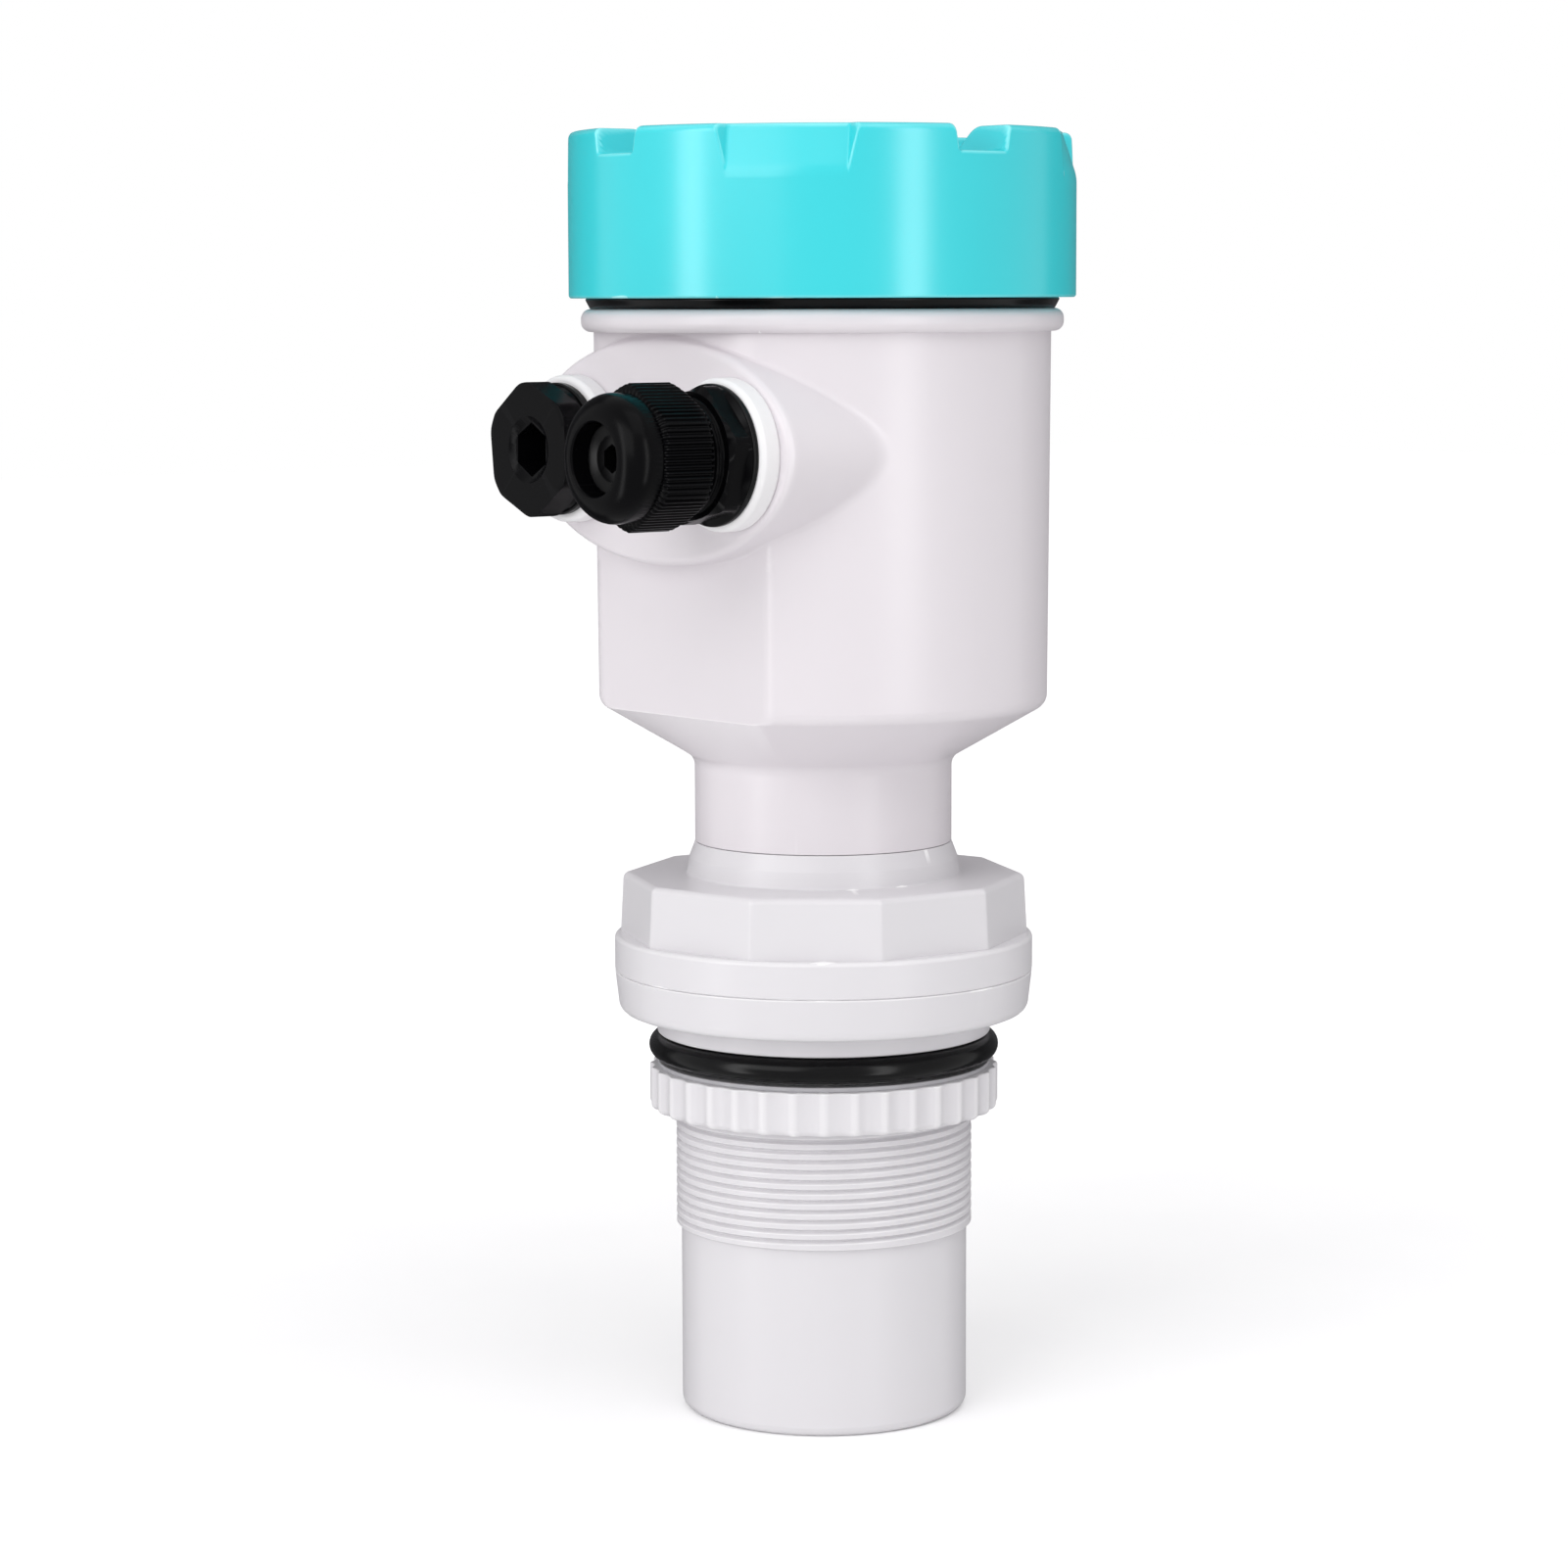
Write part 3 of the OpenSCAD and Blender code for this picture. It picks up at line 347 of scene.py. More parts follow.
# %% Circuit board
TRACK_STEP = 5
board_mask, tree = blank("etched_fr4_board")
place = add(tree, "ShaderNodeTexCoord").outputs["Object"]
track = add(tree, "ShaderNodeTexBrick",
            {"Vector": place, "Scale": per_mm(TRACK_STEP), "Mortar Size": 0.05, "Mortar Smooth": 0.2,
             "Color1": linear("#1E5B3C"), "Color2": linear("#1A5236"), "Mortar": linear("#2F7A50")})
pad = add(tree, "ShaderNodeTexVoronoi", {"Vector": place, "Scale": per_mm(3), "Randomness": 0.6})
via = add(tree, "ShaderNodeMath", {0: pad.outputs[0], 1: 0.18}, operation="LESS_THAN")
tone = add(tree, "ShaderNodeMix", {0: via.outputs[0], 6: track.outputs[0], 7: linear("#C9A95C")},
           data_type="RGBA")
relief = add(tree, "ShaderNodeBump", {"Height": track.outputs[1], "Distance": 0.00004, "Strength": 0.6})
shader = add(tree, "ShaderNodeBsdfPrincipled",
             {"Base Color": tone.outputs[2], "Roughness": 0.3, "IOR": 1.5, "Normal": relief.outputs[0]})
finish(tree, shader)
print("Board tracks lie", TRACK_STEP, "mm apart")

# %% Display glass and window
lcd_glass, tree = blank("etched_lcd_glass")
place = add(tree, "ShaderNodeTexCoord").outputs["Object"]
cells = add(tree, "ShaderNodeTexBrick",
            {"Vector": place, "Scale": per_mm(0.8), "Mortar Size": 0.06, "Color1": linear("#93A88E"),
             "Color2": linear("#8FA48A"), "Mortar": linear("#9FB49A")}, offset=0.0)
shader = add(tree, "ShaderNodeBsdfPrincipled",
             {"Base Color": cells.outputs[0], "Roughness": 0.15, "IOR": 1.52})
finish(tree, shader)

clear_acrylic, tree = blank("cast_clear_acrylic")
place = add(tree, "ShaderNodeTexCoord").outputs["Object"]
haze = add(tree, "ShaderNodeTexNoise", {"Vector": place, "Scale": per_mm(9), "Detail": 2})
matt = add(tree, "ShaderNodeMapRange", {"Value": haze.outputs[0], "To Min": 0.02, "To Max": 0.08})
shader = add(tree, "ShaderNodeBsdfPrincipled",
             {"Base Color": linear("#F4F8FA"), "Roughness": matt.outputs[0], "IOR": 1.49,
              "Transmission Weight": 0.95})
finish(tree, shader)
print("Glasses:", lcd_glass.name, clear_acrylic.name)

# %% [markdown]
# ## Turning skins
#
# Nearly every piece is round or follows a round one, so one way of making a mesh serves them
# all: rows of points that go once round the axis, joined by quads. A corner list gives the
# cross-section, with a radius where the real edge is rounded, and rounded edges are what
# catches the light.

# %% Sizes from the frame
def span(node):
    """Lowest and highest corner of a CAD node, in millimetres."""
    low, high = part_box(node)
    return np.array(low) * 1000, np.array(high) * 1000


body_of = {name: obj["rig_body"] for name, obj in frame["nodes"].items()}

# %% Columns and corners
def columns(step, *bands):
    """Angles round a piece in degrees: one every `step`, and closer ones in bands of
    (middle, half width, step)."""
    angles = list(np.arange(0, 360, step))
    for middle, half, close in bands:
        angles = [a for a in angles if abs((a - middle + 180) % 360 - 180) > half]
        angles += [(middle + d) % 360 for d in np.arange(-half, half + close / 2, close)]
    return np.unique(np.round(angles, 4))


def soften(corners, steps=5):
    """Rounds a closed section of (radius, height, rounding) corners into points."""
    points = []
    for i, (r, z, rounding) in enumerate(corners):
        here = np.array([r, z], float)
        if not rounding:
            points.append(here)
            continue
        before = np.array(corners[i - 1][:2]) - here
        after = np.array(corners[(i + 1) % len(corners)][:2]) - here
        before = before / np.linalg.norm(before)
        after = after / np.linalg.norm(after)
        half = math.acos(max(-1, min(1, float(before @ after)))) / 2
        reach = rounding / math.tan(half)
        middle = here + (before + after) / np.linalg.norm(before + after) * rounding / math.sin(half)
        start = here + before * reach - middle
        end = here + after * reach - middle
        for k in range(steps + 1):
            spoke = start * (steps - k) + end * k
            points.append(middle + spoke / np.linalg.norm(spoke) * rounding)
    return points


def sweep(points, turns, shape=None):
    """Rows round the Z axis; `shape(radius, height, turns)` may bend each row."""
    rows = []
    for r, z in points:
        radius = shape(r, z, turns) if shape else np.full(len(turns), r)
        angle = np.radians(turns)
        rows.append(np.stack([radius * np.cos(angle), radius * np.sin(angle),
                              np.full(len(turns), z)], axis=1))
    return np.array(rows)


print("A full turn in", len(columns(2)), "columns")

# %% [markdown]
# Points up to a micrometre apart are welded, which all but shuts a piece whose last row ends
# on the axis. The lid's and the boss's last rows stop about 0.1 mm short of their middle, so
# each keeps a pinhole there. Blender shades the mesh smooth, keeps edges sharper than 35
# degrees, and weights each normal by the size of its faces, so that flat faces stay flat
# beside their small roundings.

# %% From rows to a piece
def piece(name, rows, material, node, stands_for=(), loop=True, field=None):
    """Makes a skin from rows of points in mm and lets it ride with a CAD node's body."""
    count, wide = rows.shape[:2]
    mesh = bmesh.new()
    dots = [mesh.verts.new(p) for p in rows.reshape(-1, 3) / 1000]
    for i in range(count if loop else count - 1):
        for j in range(wide):
            quad = [(i, j), (i, (j + 1) % wide), ((i + 1) % count, (j + 1) % wide), ((i + 1) % count, j)]
            mesh.faces.new([dots[a * wide + b] for a, b in quad])
    bmesh.ops.remove_doubles(mesh, verts=mesh.verts, dist=1e-6)
    bmesh.ops.recalc_face_normals(mesh, faces=mesh.faces)
    return settle(name, mesh, material, node, stands_for, field)


def settle(name, mesh, material, node, stands_for=(), field=None):
    """Turns a bmesh into an object with its finish and body, and hides the CAD parts it stands for."""
    data = bpy.data.meshes.new(name)
    mesh.to_mesh(data)
    mesh.free()
    data.materials.append(material)
    data.shade_smooth()
    obj = bpy.data.objects.new(name, data)
    bpy.context.scene.collection.objects.link(obj)
    if field:
        data.normals_split_custom_set_from_vertices(slope(data, field))
    else:
        data.set_sharp_from_angle(angle=math.radians(35))
        weigh = obj.modifiers.new("even_shading", "WEIGHTED_NORMAL")
        weigh.keep_sharp = True
    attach(obj, body_of[node])
    if stands_for:
        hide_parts(*stands_for)
    print(name, "has", len(data.vertices), "points")
    return obj


def uphill(spots, field):
    """Unit vectors in which a field grows fastest, at points in mm."""
    nudge = 0.02
    gradient = np.stack([field(*(spots + nudge * axis).T) - field(*(spots - nudge * axis).T)
                         for axis in np.eye(3)], axis=1)
    return gradient / np.maximum(np.linalg.norm(gradient, axis=1, keepdims=True), 1e-9)


def slope(data, field):
    """Normals from a field, and zero where the skin leaves it and keeps its own."""
    spots = np.zeros(len(data.vertices) * 3)
    data.vertices.foreach_get("co", spots)
    spots = spots.reshape(-1, 3) * 1000
    normals = uphill(spots, field)
    normals[np.abs(field(*spots.T)) > 0.1] = 0
    return normals.tolist()


print("Ready to make pieces")

# %% [markdown]
# ## Shapes that blend
#
# The lid's grips and the oval boss are not round, and their edges flow into each other. They
# are described as fields: a function that is negative inside the plastic and positive
# outside. Joining two fields with a soft minimum or maximum gives the fillet that a mould
# has, and a ray walked from outside to inside finds the skin.

# %% Fields
def soft_max(a, b, k):
    """The larger of two fields, with their edge rounded over about k millimetres."""
    near = np.maximum(k - np.abs(a - b), 0)
    return np.maximum(a, b) + near * near / (4 * k)


def soft_min(a, b, k):
    """The smaller of two fields, with their edge rounded over about k millimetres."""
    return -soft_max(-a, -b, k)


def find_skin(starts, ends, field):
    """Point on each ray where the field turns from positive to negative."""
    low = np.zeros(starts.shape[:-1])
    high = np.ones(starts.shape[:-1])
    for _ in range(26):
        middle = (low + high) / 2
        spots = starts + (ends - starts) * middle[..., None]
        outside = field(spots[..., 0], spots[..., 1], spots[..., 2]) > 0
        low = np.where(outside, middle, low)
        high = np.where(outside, high, middle)
    return starts + (ends - starts) * high[..., None]


print("Soft edge of two meeting planes:", float(soft_max(0.0, 0.0, 1.2)), "mm")

# %% [markdown]
# ## Lid
#
# The lid is a deep moulded cap with a dished top. Four notches cut through its rim for a bar,
# and four shallow pockets between them give fingers a hold. Their floors slope and run out on
# the side wall, and every edge is rounded, so the light draws a thin line round each one.

# %% Lid field
lid_low, lid_high = span("lid")
LID_R = (lid_high[0] - lid_low[0]) / 2
Z_LID = lid_low[2]
Z_TOP = lid_high[2]
DISH = 5
RIM = 10.6
NOTCHES = [-2.4 + 90 * k for k in range(4)]
NOTCH_HALF = 5.6
NOTCH_FLARE = 0.18
POCKETS = [-47.8 + 90 * k for k in range(4)]
POCKET_HALF = 11.5
POCKET_FLARE = 0.72
POCKET_SLANT = 0.81
POCKET_DEPTH = 3
POCKET_H = 9.0
EDGE = 0.7


def lid_field(x, y, z):
    """Negative inside the lid's outer shape, and the hollow below it is left to the rows.
    POCKET_SLANT turns a flared wall's distance, taken sideways, into about the shortest."""
    r = np.hypot(x, y)
    cap = soft_max(r - LID_R, z - Z_TOP, 1.7)
    dish = soft_max(Z_TOP - DISH - z, (r - LID_R + RIM + Z_TOP - z) * 0.7071, 1.6)
    cap = soft_max(cap, -dish, 1.4)
    for turn in NOTCHES:
        c, s = math.cos(math.radians(turn)), math.sin(math.radians(turn))
        ahead = x * c + y * s
        aside = np.abs(y * c - x * s)
        walls = aside - NOTCH_HALF - NOTCH_FLARE * (z - Z_TOP + DISH)
        notch = soft_max(soft_max(walls, Z_TOP - DISH - z, 0.5), LID_R * 0.6 - ahead, 0.5)
        cap = soft_max(cap, -notch, EDGE)
    cone = LID_R - POCKET_DEPTH * (z - Z_TOP + POCKET_H) / POCKET_H - r
    for turn in POCKETS:
        c, s = math.cos(math.radians(turn)), math.sin(math.radians(turn))
        ahead = x * c + y * s
        aside = np.abs(y * c - x * s)
        walls = (aside - POCKET_HALF + POCKET_FLARE * cone) * POCKET_SLANT
        pocket = soft_max(soft_max(walls, cone, 0.3), LID_R * 0.5 - ahead, 0.5)
        cap = soft_max(cap, -pocket, 0.45)
    return cap


print("Lid", round(2 * LID_R, 1), "mm across,", round(Z_TOP - Z_LID, 1), "mm tall")

# %% Lid skin
bands = [(turn + side * 8, 3.6, 0.24) for turn in NOTCHES for side in (-1, 1)]
bands += [(turn + side * 14.5, 3, 0.2) for turn in POCKETS for side in (-1, 1)]
lid_turns = columns(2, *bands)
LID_BORE = LID_R - 5.6
brim = soften([(LID_BORE, Z_LID + 5, 0), (LID_BORE, Z_LID, 0.4),
               (LID_R, Z_LID, 0.6), (LID_R, Z_LID + 5, 0)])[1:-1]
roof = Z_TOP - DISH - 4
under = [(0, roof), (LID_BORE - 3, roof), (LID_BORE, roof - 3)]
# The lid's inner thread is seen only with the lid off, so plain grooves stand for it.
thread_rows = [(LID_BORE - 0.02 - 0.28 * (k % 2), roof - 6 - 0.75 * k) for k in range(16)]

core = (LID_R - 5, Z_TOP - 7.5)
reach = [(LID_R + 3, z) for z in np.linspace(Z_LID + 1, Z_TOP - 13, 9)]
aims = [(LID_R - 8, z) for _, z in reach]
reach += [(LID_R + 3, z) for z in np.arange(Z_TOP - 12.4, Z_TOP - 7.2, 0.5)]
aims += [(LID_R - 8, z) for _, z in reach[9:]]
fan = [(LID_R + 3, -7), (LID_R + 3, -1.5), (LID_R + 3, 3), (LID_R - 2, 3), (LID_R - 7, 3),
       (LID_R - 11.5, 3), (LID_R - 16.4, 3), (LID_R - 16.4, -4.1)]
for (r0, z0), (r1, z1), count in zip(fan, fan[1:], (12, 12, 8, 6, 10, 10, 12)):
    for k in range(count):
        reach.append((r0 + (r1 - r0) * k / count, Z_TOP + z0 + (z1 - z0) * k / count))
        aims.append(core)
for r in (33.8, 33.4, 33, 32, 29, 22, 12, 5, 1.5, 0.1):
    reach.append((r, Z_TOP + 3))
    aims.append((r, Z_TOP - DISH - 3))

lid_rows = find_skin(sweep(reach, lid_turns), sweep(aims, lid_turns), lid_field)
lid_rows = np.concatenate([sweep(under + thread_rows, lid_turns), sweep(brim, lid_turns), lid_rows])
piece("lid_cap", lid_rows, turquoise_abs, "lid", ["lid"], loop=False, field=lid_field)

# %% [markdown]
# ## Housing
#
# The housing is one moulding: a neck, a cone, a body with a flat for the cable entries, and a
# bead under the lid's seal. Its rows follow that section, and the flat simply limits the
# radius on one side, with a soft edge. The mouth carries the lid's thread, three millimetres
# to a turn: the radius dips by where the height and the turn meet on the helix.

# %% Housing section
house_low, house_high = span("housing")
seal_low, seal_high = span("lid_seal")
Z_NECK = house_low[2]
Z_MOUTH = house_high[2]
Z_SEAL = seal_low[2]
Z_BEAD = Z_SEAL - 4.5
Z_BODY = span("electronics_cup")[0][2] - 16
Z_CONE = Z_BODY - 10.95
NECK_R = 25.87
NECK_BORE = 21.47
FOOT_R = 44.95
TOP_R = 45.5
BEAD_R = 48
FLAT_Y = 36.2
WALL = 3.5
bush_low, bush_high = span("gland_bushing")
X_ENTRY = (bush_low[0] + bush_high[0]) / 2
Z_ENTRY = (bush_low[2] + bush_high[2]) / 2
BUSHING_H = 4.4
BOSS_Y = -bush_low[1] - BUSHING_H
BOSS_A = 41
BOSS_B = 22
MOUTH_R = LID_BORE - 0.35


def behind_flat(distance, round_over):
    """A shape for sweep that keeps each row behind a flat on the -Y side."""
    def shape(r, z, turns):
        facing = np.maximum(-np.sin(np.radians(turns)), 0.2)
        return soft_min(np.full(len(turns), r), distance / facing, round_over)
    return shape


def behind_boss(r, z, turns):
    """Below the entries the body has its flat; above them it only stands back for the boss."""
    return behind_flat(*((FLAT_Y, 1.2) if z < Z_ENTRY else (BOSS_Y - 1, 6)))(r, z, turns)


def screw_thread(pitch, depth, crest=0.2):
    """A shape for sweep that cuts a right-hand thread; `crest` is the share left uncut."""
    def shape(r, z, turns):
        phase = (z / pitch - turns / 360) % 1
        height = np.clip((np.abs(phase - 0.5) * 2 - crest) / (0.8 - crest * 0.6), 0, 1)
        return r - depth * height * height * (3 - 2 * height)
    return shape


print("Flat edge", round(math.degrees(math.acos(FLAT_Y / TOP_R)), 1), "degrees off the middle")

# %% Housing skin
house_turns = columns(2, (-90 + 36.8, 3.4, 0.2), (-90 - 36.8, 3.4, 0.2), (-90, 28, 1))
foot = soften([(NECK_BORE, Z_NECK + 5, 0), (NECK_BORE, Z_NECK, 0.3), (NECK_R, Z_NECK, 0.15),
               (NECK_R, Z_CONE, 3), (FOOT_R, Z_BODY, 3), (TOP_R, Z_BEAD, 0)])[1:-1]
heights = list(np.linspace(3, Z_ENTRY - Z_BODY - 0.01, 9))
heights += list(np.linspace(Z_ENTRY - Z_BODY, Z_BEAD - Z_BODY, 9))
walls = [(FOOT_R + (TOP_R - FOOT_R) * h / (Z_BEAD - Z_BODY), Z_BODY + h) for h in heights]
bead = soften([(TOP_R, Z_BEAD, 0), (BEAD_R, Z_BEAD, 1.9), (BEAD_R, Z_SEAL, 1.9),
               (MOUTH_R, Z_SEAL, 0.3), (MOUTH_R, Z_SEAL + 2, 0)], 8)[:-1]
screw = [(MOUTH_R, z) for z in np.arange(Z_SEAL + 1, Z_MOUTH - 1, 0.25)]
mouth = soften([(MOUTH_R - 0.5, Z_MOUTH - 3, 0), (MOUTH_R - 0.5, Z_MOUTH, 0.6),
                (MOUTH_R - 3, Z_MOUTH, 0.6), (MOUTH_R - 3, Z_MOUTH - 3, 0)])[1:-1]
throat = [(FOOT_R - WALL, Z_BEAD + 2.5)]
hollow = [(FOOT_R - WALL, Z_BEAD + 2.4), (FOOT_R - WALL, Z_BODY + 3), (NECK_BORE, Z_CONE + 3)]
house_rows = np.concatenate([
    sweep(foot + walls, house_turns, behind_boss),
    sweep(bead, house_turns),
    sweep(screw, house_turns, screw_thread(3, 0.45)),
    sweep(mouth + throat, house_turns),
    sweep(hollow, house_turns, behind_flat(FLAT_Y - WALL, 1))])
piece("housing_body", house_rows, grey_pbt, "housing", ["housing"])

# %% [markdown]
# Inside, four posts take the screws of the electronics. They are part of the moulding.

# %% Screw posts
for k, turn in enumerate((45, 135, 225, 315)):
    post = soften([(1.6, Z_BODY - 1, 0), (3.5, Z_BODY - 1, 0), (3.5, Z_BODY + 16, 0.4),
                   (1.6, Z_BODY + 16, 0.3)])
    rows = sweep(post, columns(10))
    rows += np.array([33 * math.cos(math.radians(turn)), 33 * math.sin(math.radians(turn)), 0])
    piece(f"housing_post_{k + 1}", rows, grey_pbt, "housing", ["housing"])

# %% [markdown]
# ## Boss for the cable entries
#
# The oval boss swells out of the body. It is the body's field and the boss's field joined
# with a soft minimum. Its rows run outwards from the middle of the boss, over the rim, down
# the side and out onto the body, and the rays lean inwards so that they meet the side walls.
# The last rows dip just under the body's own skin, so no edge shows.

# %% Boss field
BOSS_RIM = 1.7
BOSS_BLEND = 1.0


def boss_field(x, y, z):
    """Negative inside the body or the boss."""
    radius = FOOT_R + (TOP_R - FOOT_R) * (z - Z_BODY) / (Z_BEAD - Z_BODY)
    up = z - Z_ENTRY
    reach = np.sqrt((x / BOSS_A) ** 2 + (up / BOSS_B) ** 2) + 1e-9
    steep = np.sqrt((x / BOSS_A ** 2) ** 2 + (up / BOSS_B ** 2) ** 2) / reach + 1e-6
    side = (reach - 1) / steep
    round_body = np.hypot(x, y) - radius
    body = np.where(up < 0, soft_max(round_body, -y - FLAT_Y, 0.6),
                    soft_max(round_body, 1 - y - BOSS_Y, 6))
    boss = soft_max(side, -y - BOSS_Y, BOSS_RIM)
    boss = soft_max(boss, y + 10, 1)
    return soft_min(body, boss, BOSS_BLEND)


print("Boss", 2 * BOSS_A, "by", 2 * BOSS_B, "mm, face", round(BOSS_Y, 1), "mm from the axis")

# %% Boss skin
FAR = 60
NEAR = 5
round_boss = np.radians(np.arange(0, 360, 1.5))
curve_x = BOSS_A * np.cos(round_boss)
curve_y = np.sqrt(45.3 ** 2 - curve_x ** 2)
curve_y = np.minimum(np.where(np.sin(round_boss) > 0, BOSS_Y - 1, FLAT_Y), curve_y)
rim_at = 1 / (1 - 0.5 * (FAR - BOSS_Y) / (FAR - NEAR))
foot_at = 1 / (1 - 0.5 * (FAR - curve_y) / (FAR - NEAR))
skirt = 0.16 + 0.14 * np.abs(np.sin(round_boss))
steps = [0 * foot_at + s for s in (0.003, 0.03, 0.1, 0.5, 0.9, 1.02)]
steps += [0 * foot_at + s for s in np.linspace(1.1, rim_at, 16)]
steps += [rim_at + (foot_at - rim_at) * k / 16 for k in range(1, 17)]
steps += [foot_at + skirt * (k / 16) ** 1.4 for k in range(1, 17)]
scale = np.array(steps)
starts = np.stack([scale * curve_x, 0 * scale - FAR,
                   Z_ENTRY + scale * BOSS_B * np.sin(round_boss)], axis=2)
ends = np.stack([0.5 * scale * curve_x, 0 * scale - NEAR,
                 Z_ENTRY + 0.5 * scale * BOSS_B * np.sin(round_boss)], axis=2)
boss_rows = find_skin(starts, ends, boss_field)
lift_off = np.full((len(steps), 1, 1), 0.02)
lift_off[-3:, 0, 0] = (0.0, -0.03, -0.08)
boss_rows = boss_rows + lift_off * uphill(boss_rows.reshape(-1, 3), boss_field).reshape(boss_rows.shape)
piece("housing_boss", boss_rows, grey_pbt, "housing", ["housing"], loop=False, field=boss_field)

# %% [markdown]
# ## Cable entries
#
# Everything at an entry is turned about an axis that points out of the boss, so it is made
# round the Z axis first and then laid over. Hexagons come from the same rows: flats only
# limit the radius, exactly as a milling cutter does to a turned blank, so the chamfer at the
# end leaves the curved lines that real nuts have.

# %% Entry helpers
def at_entry(rows, side):
    """Lays rows made round Z along an entry's axis; side is +1 for the gland."""
    x, y, z = rows[..., 0], rows[..., 1], rows[..., 2]
    return np.stack([x + side * X_ENTRY, -z, y + Z_ENTRY], axis=2)


def flats(sides, turn, half_across, round_over=0.25, low=-1e9, corner=0.4):
    """A shape for sweep that cuts flats above the height `low`, with rounded corners between
    them; half_across may depend on the height."""
    def shape(r, z, turns):
        row = np.full(len(turns), float(r))
        if z < low:
            return row
        half = math.pi / sides
        off = np.abs(np.radians(turns - turn) % (2 * half) - half)
        across = half_across(z) if callable(half_across) else half_across
        centre = (across - corner) / math.cos(half)
        arc = centre * np.cos(half - off)
        arc = arc + np.sqrt(np.maximum(corner ** 2 - centre ** 2 + arc ** 2, 0))
        tangent = math.atan2(corner * math.sin(half), centre + corner * math.cos(half))
        facet = np.where(half - off < tangent, arc, across / np.cos(off))
        return soft_min(row, facet, round_over)
    return shape


def corner_columns(sides, turn, half=3, close=0.4):
    """Columns for a piece with flats, closer at its corners."""
    return columns(3, *[(turn + k * 360 / sides, half, close) for k in range(sides)])


print("Entries", round(2 * X_ENTRY, 1), "mm apart")

# %% Bushings
bushing = soften([(10.35, BOSS_Y - 11, 0), (11.85, BOSS_Y - 11, 0), (11.85, BOSS_Y - 1, 0),
                  (14.2, BOSS_Y - 1, 0), (14.2, BOSS_Y + 0.3, 0), (14.5, BOSS_Y + 0.4, 0.1),
                  (14.5, BOSS_Y + BUSHING_H, 1.2), (10.35, BOSS_Y + BUSHING_H, 0.4)])
for side, node in ((1, "gland_bushing"), (-1, "plug_bushing")):
    piece(node.replace("bushing", "insert"), at_entry(sweep(bushing, columns(3)), side),
          white_nylon, node, [node])

# %% Gaskets
for side, node in ((1, "gland_gasket"), (-1, "plug_gasket")):
    low, high = span(node)
    section = soften([(10.4, -high[1], 0.2), (high[0] - side * X_ENTRY, -high[1], 0.35),
                      (high[0] - side * X_ENTRY, -low[1], 0.35), (10.4, -low[1], 0.2)])
    piece(node + "_ring", at_entry(sweep(section, columns(3)), side), black_epdm, node, [node])

# %% [markdown]
# The gland has a fixed body: a thin round base, a hexagon for the spanner, and a threaded
# stub. The clamping nut screws onto the stub and squeezes the rubber seal round the cable.

# %% Gland body
HEX_TURN = 13.8
SOCKET_TURN = 30
gland_low = span("gland_body")[0]
base_y = -span("gland_gasket")[0][1]
hex_y = base_y + 0.8
stub_y = hex_y + 4.1
STUB_END = -gland_low[1]
section = soften([(7.6, base_y - 11, 0), (9.8, base_y - 11, 0.5), (10, base_y, 0), (13.3, base_y, 0.2),
                  (13.3, hex_y, 0), (13.6, hex_y + 0.25, 0), (13.6, stub_y - 1.2, 0),
                  (13.6, stub_y - 0.75, 0), (12.1, stub_y, 0.2), (11.1, stub_y, 0)])
tip = soften([(11.1, STUB_END - 3, 0), (11.1, STUB_END, 0.8),
              (9.35, STUB_END, 0.3), (9.35, STUB_END - 3, 0)])[1:-1]
seat = [(9.35, stub_y + 3), (7.6, stub_y + 3)]
gland_turns = corner_columns(6, HEX_TURN)
rows = np.concatenate([
    sweep(section, gland_turns, flats(6, HEX_TURN, 12, 0.3, low=hex_y)),
    sweep([(11.2, z) for z in np.arange(stub_y + 0.3, STUB_END - 1, 0.12)], gland_turns,
          screw_thread(1.5, 0.5)),
    sweep(tip + seat, gland_turns)])
piece("gland_hexagon", at_entry(rows, 1), black_nylon, "gland_body", ["gland_body"])

# %% [markdown]
# Fine ribs round the clamping nut keep wet fingers from slipping. They follow a hexagon with
# rounded corners, end in a small bevel, and give way to a smooth dome with a wide mouth.

# %% Clamping nut
clamp_low, clamp_high = span("gland_nut")
CLAMP_Y = -clamp_high[1]
CLAMP_END = -clamp_low[1]
CLAMP_TURN = 29
DOME_END = CLAMP_END - 0.8
DOME_Y = DOME_END - 7.2
RIBS = 72
RIB_DEPTH = 0.5
MOUTH_HALF = 6.9


def ribbed(r, z, turns):
    """A rounded hexagon with fine grooves cut into it."""
    row = flats(6, CLAMP_TURN, 12.6, 1.2)(r, z, turns)
    wave = 0.5 - 0.5 * np.cos(np.radians(turns - CLAMP_TURN) * RIBS)
    return row - RIB_DEPTH * np.clip(wave * 1.6 - 0.3, 0, 1)


rib_turns = columns(0.5)
GRIP_Y = CLAMP_Y - 0.7
back = [(11.55, GRIP_Y + 8), (11.55, GRIP_Y), (12.4, GRIP_Y)]
grip = [(13.1, GRIP_Y + 0.1), (13.6, GRIP_Y + 0.5), (14, GRIP_Y + 1.0), (14, GRIP_Y + 6),
        (14, DOME_Y - 1.1), (13.6, DOME_Y - 0.6), (12.9, DOME_Y - 0.15), (12.2, DOME_Y)]
dome = soften([(12.2, DOME_Y - 1, 0), (12.2, DOME_END, 4.8), (MOUTH_HALF + 0.25, DOME_END, 0.12),
               (MOUTH_HALF, DOME_END - 0.4, 0.3), (MOUTH_HALF, DOME_END - 5, 0)], 14)
dome = [(12.15, DOME_Y + 0.2)] + dome[1:]
inside = [(MOUTH_HALF, DOME_END - 5), (9.35, DOME_END - 5.1),
          (9.35, DOME_Y + 0.2), (11.55, DOME_Y + 0.1)]
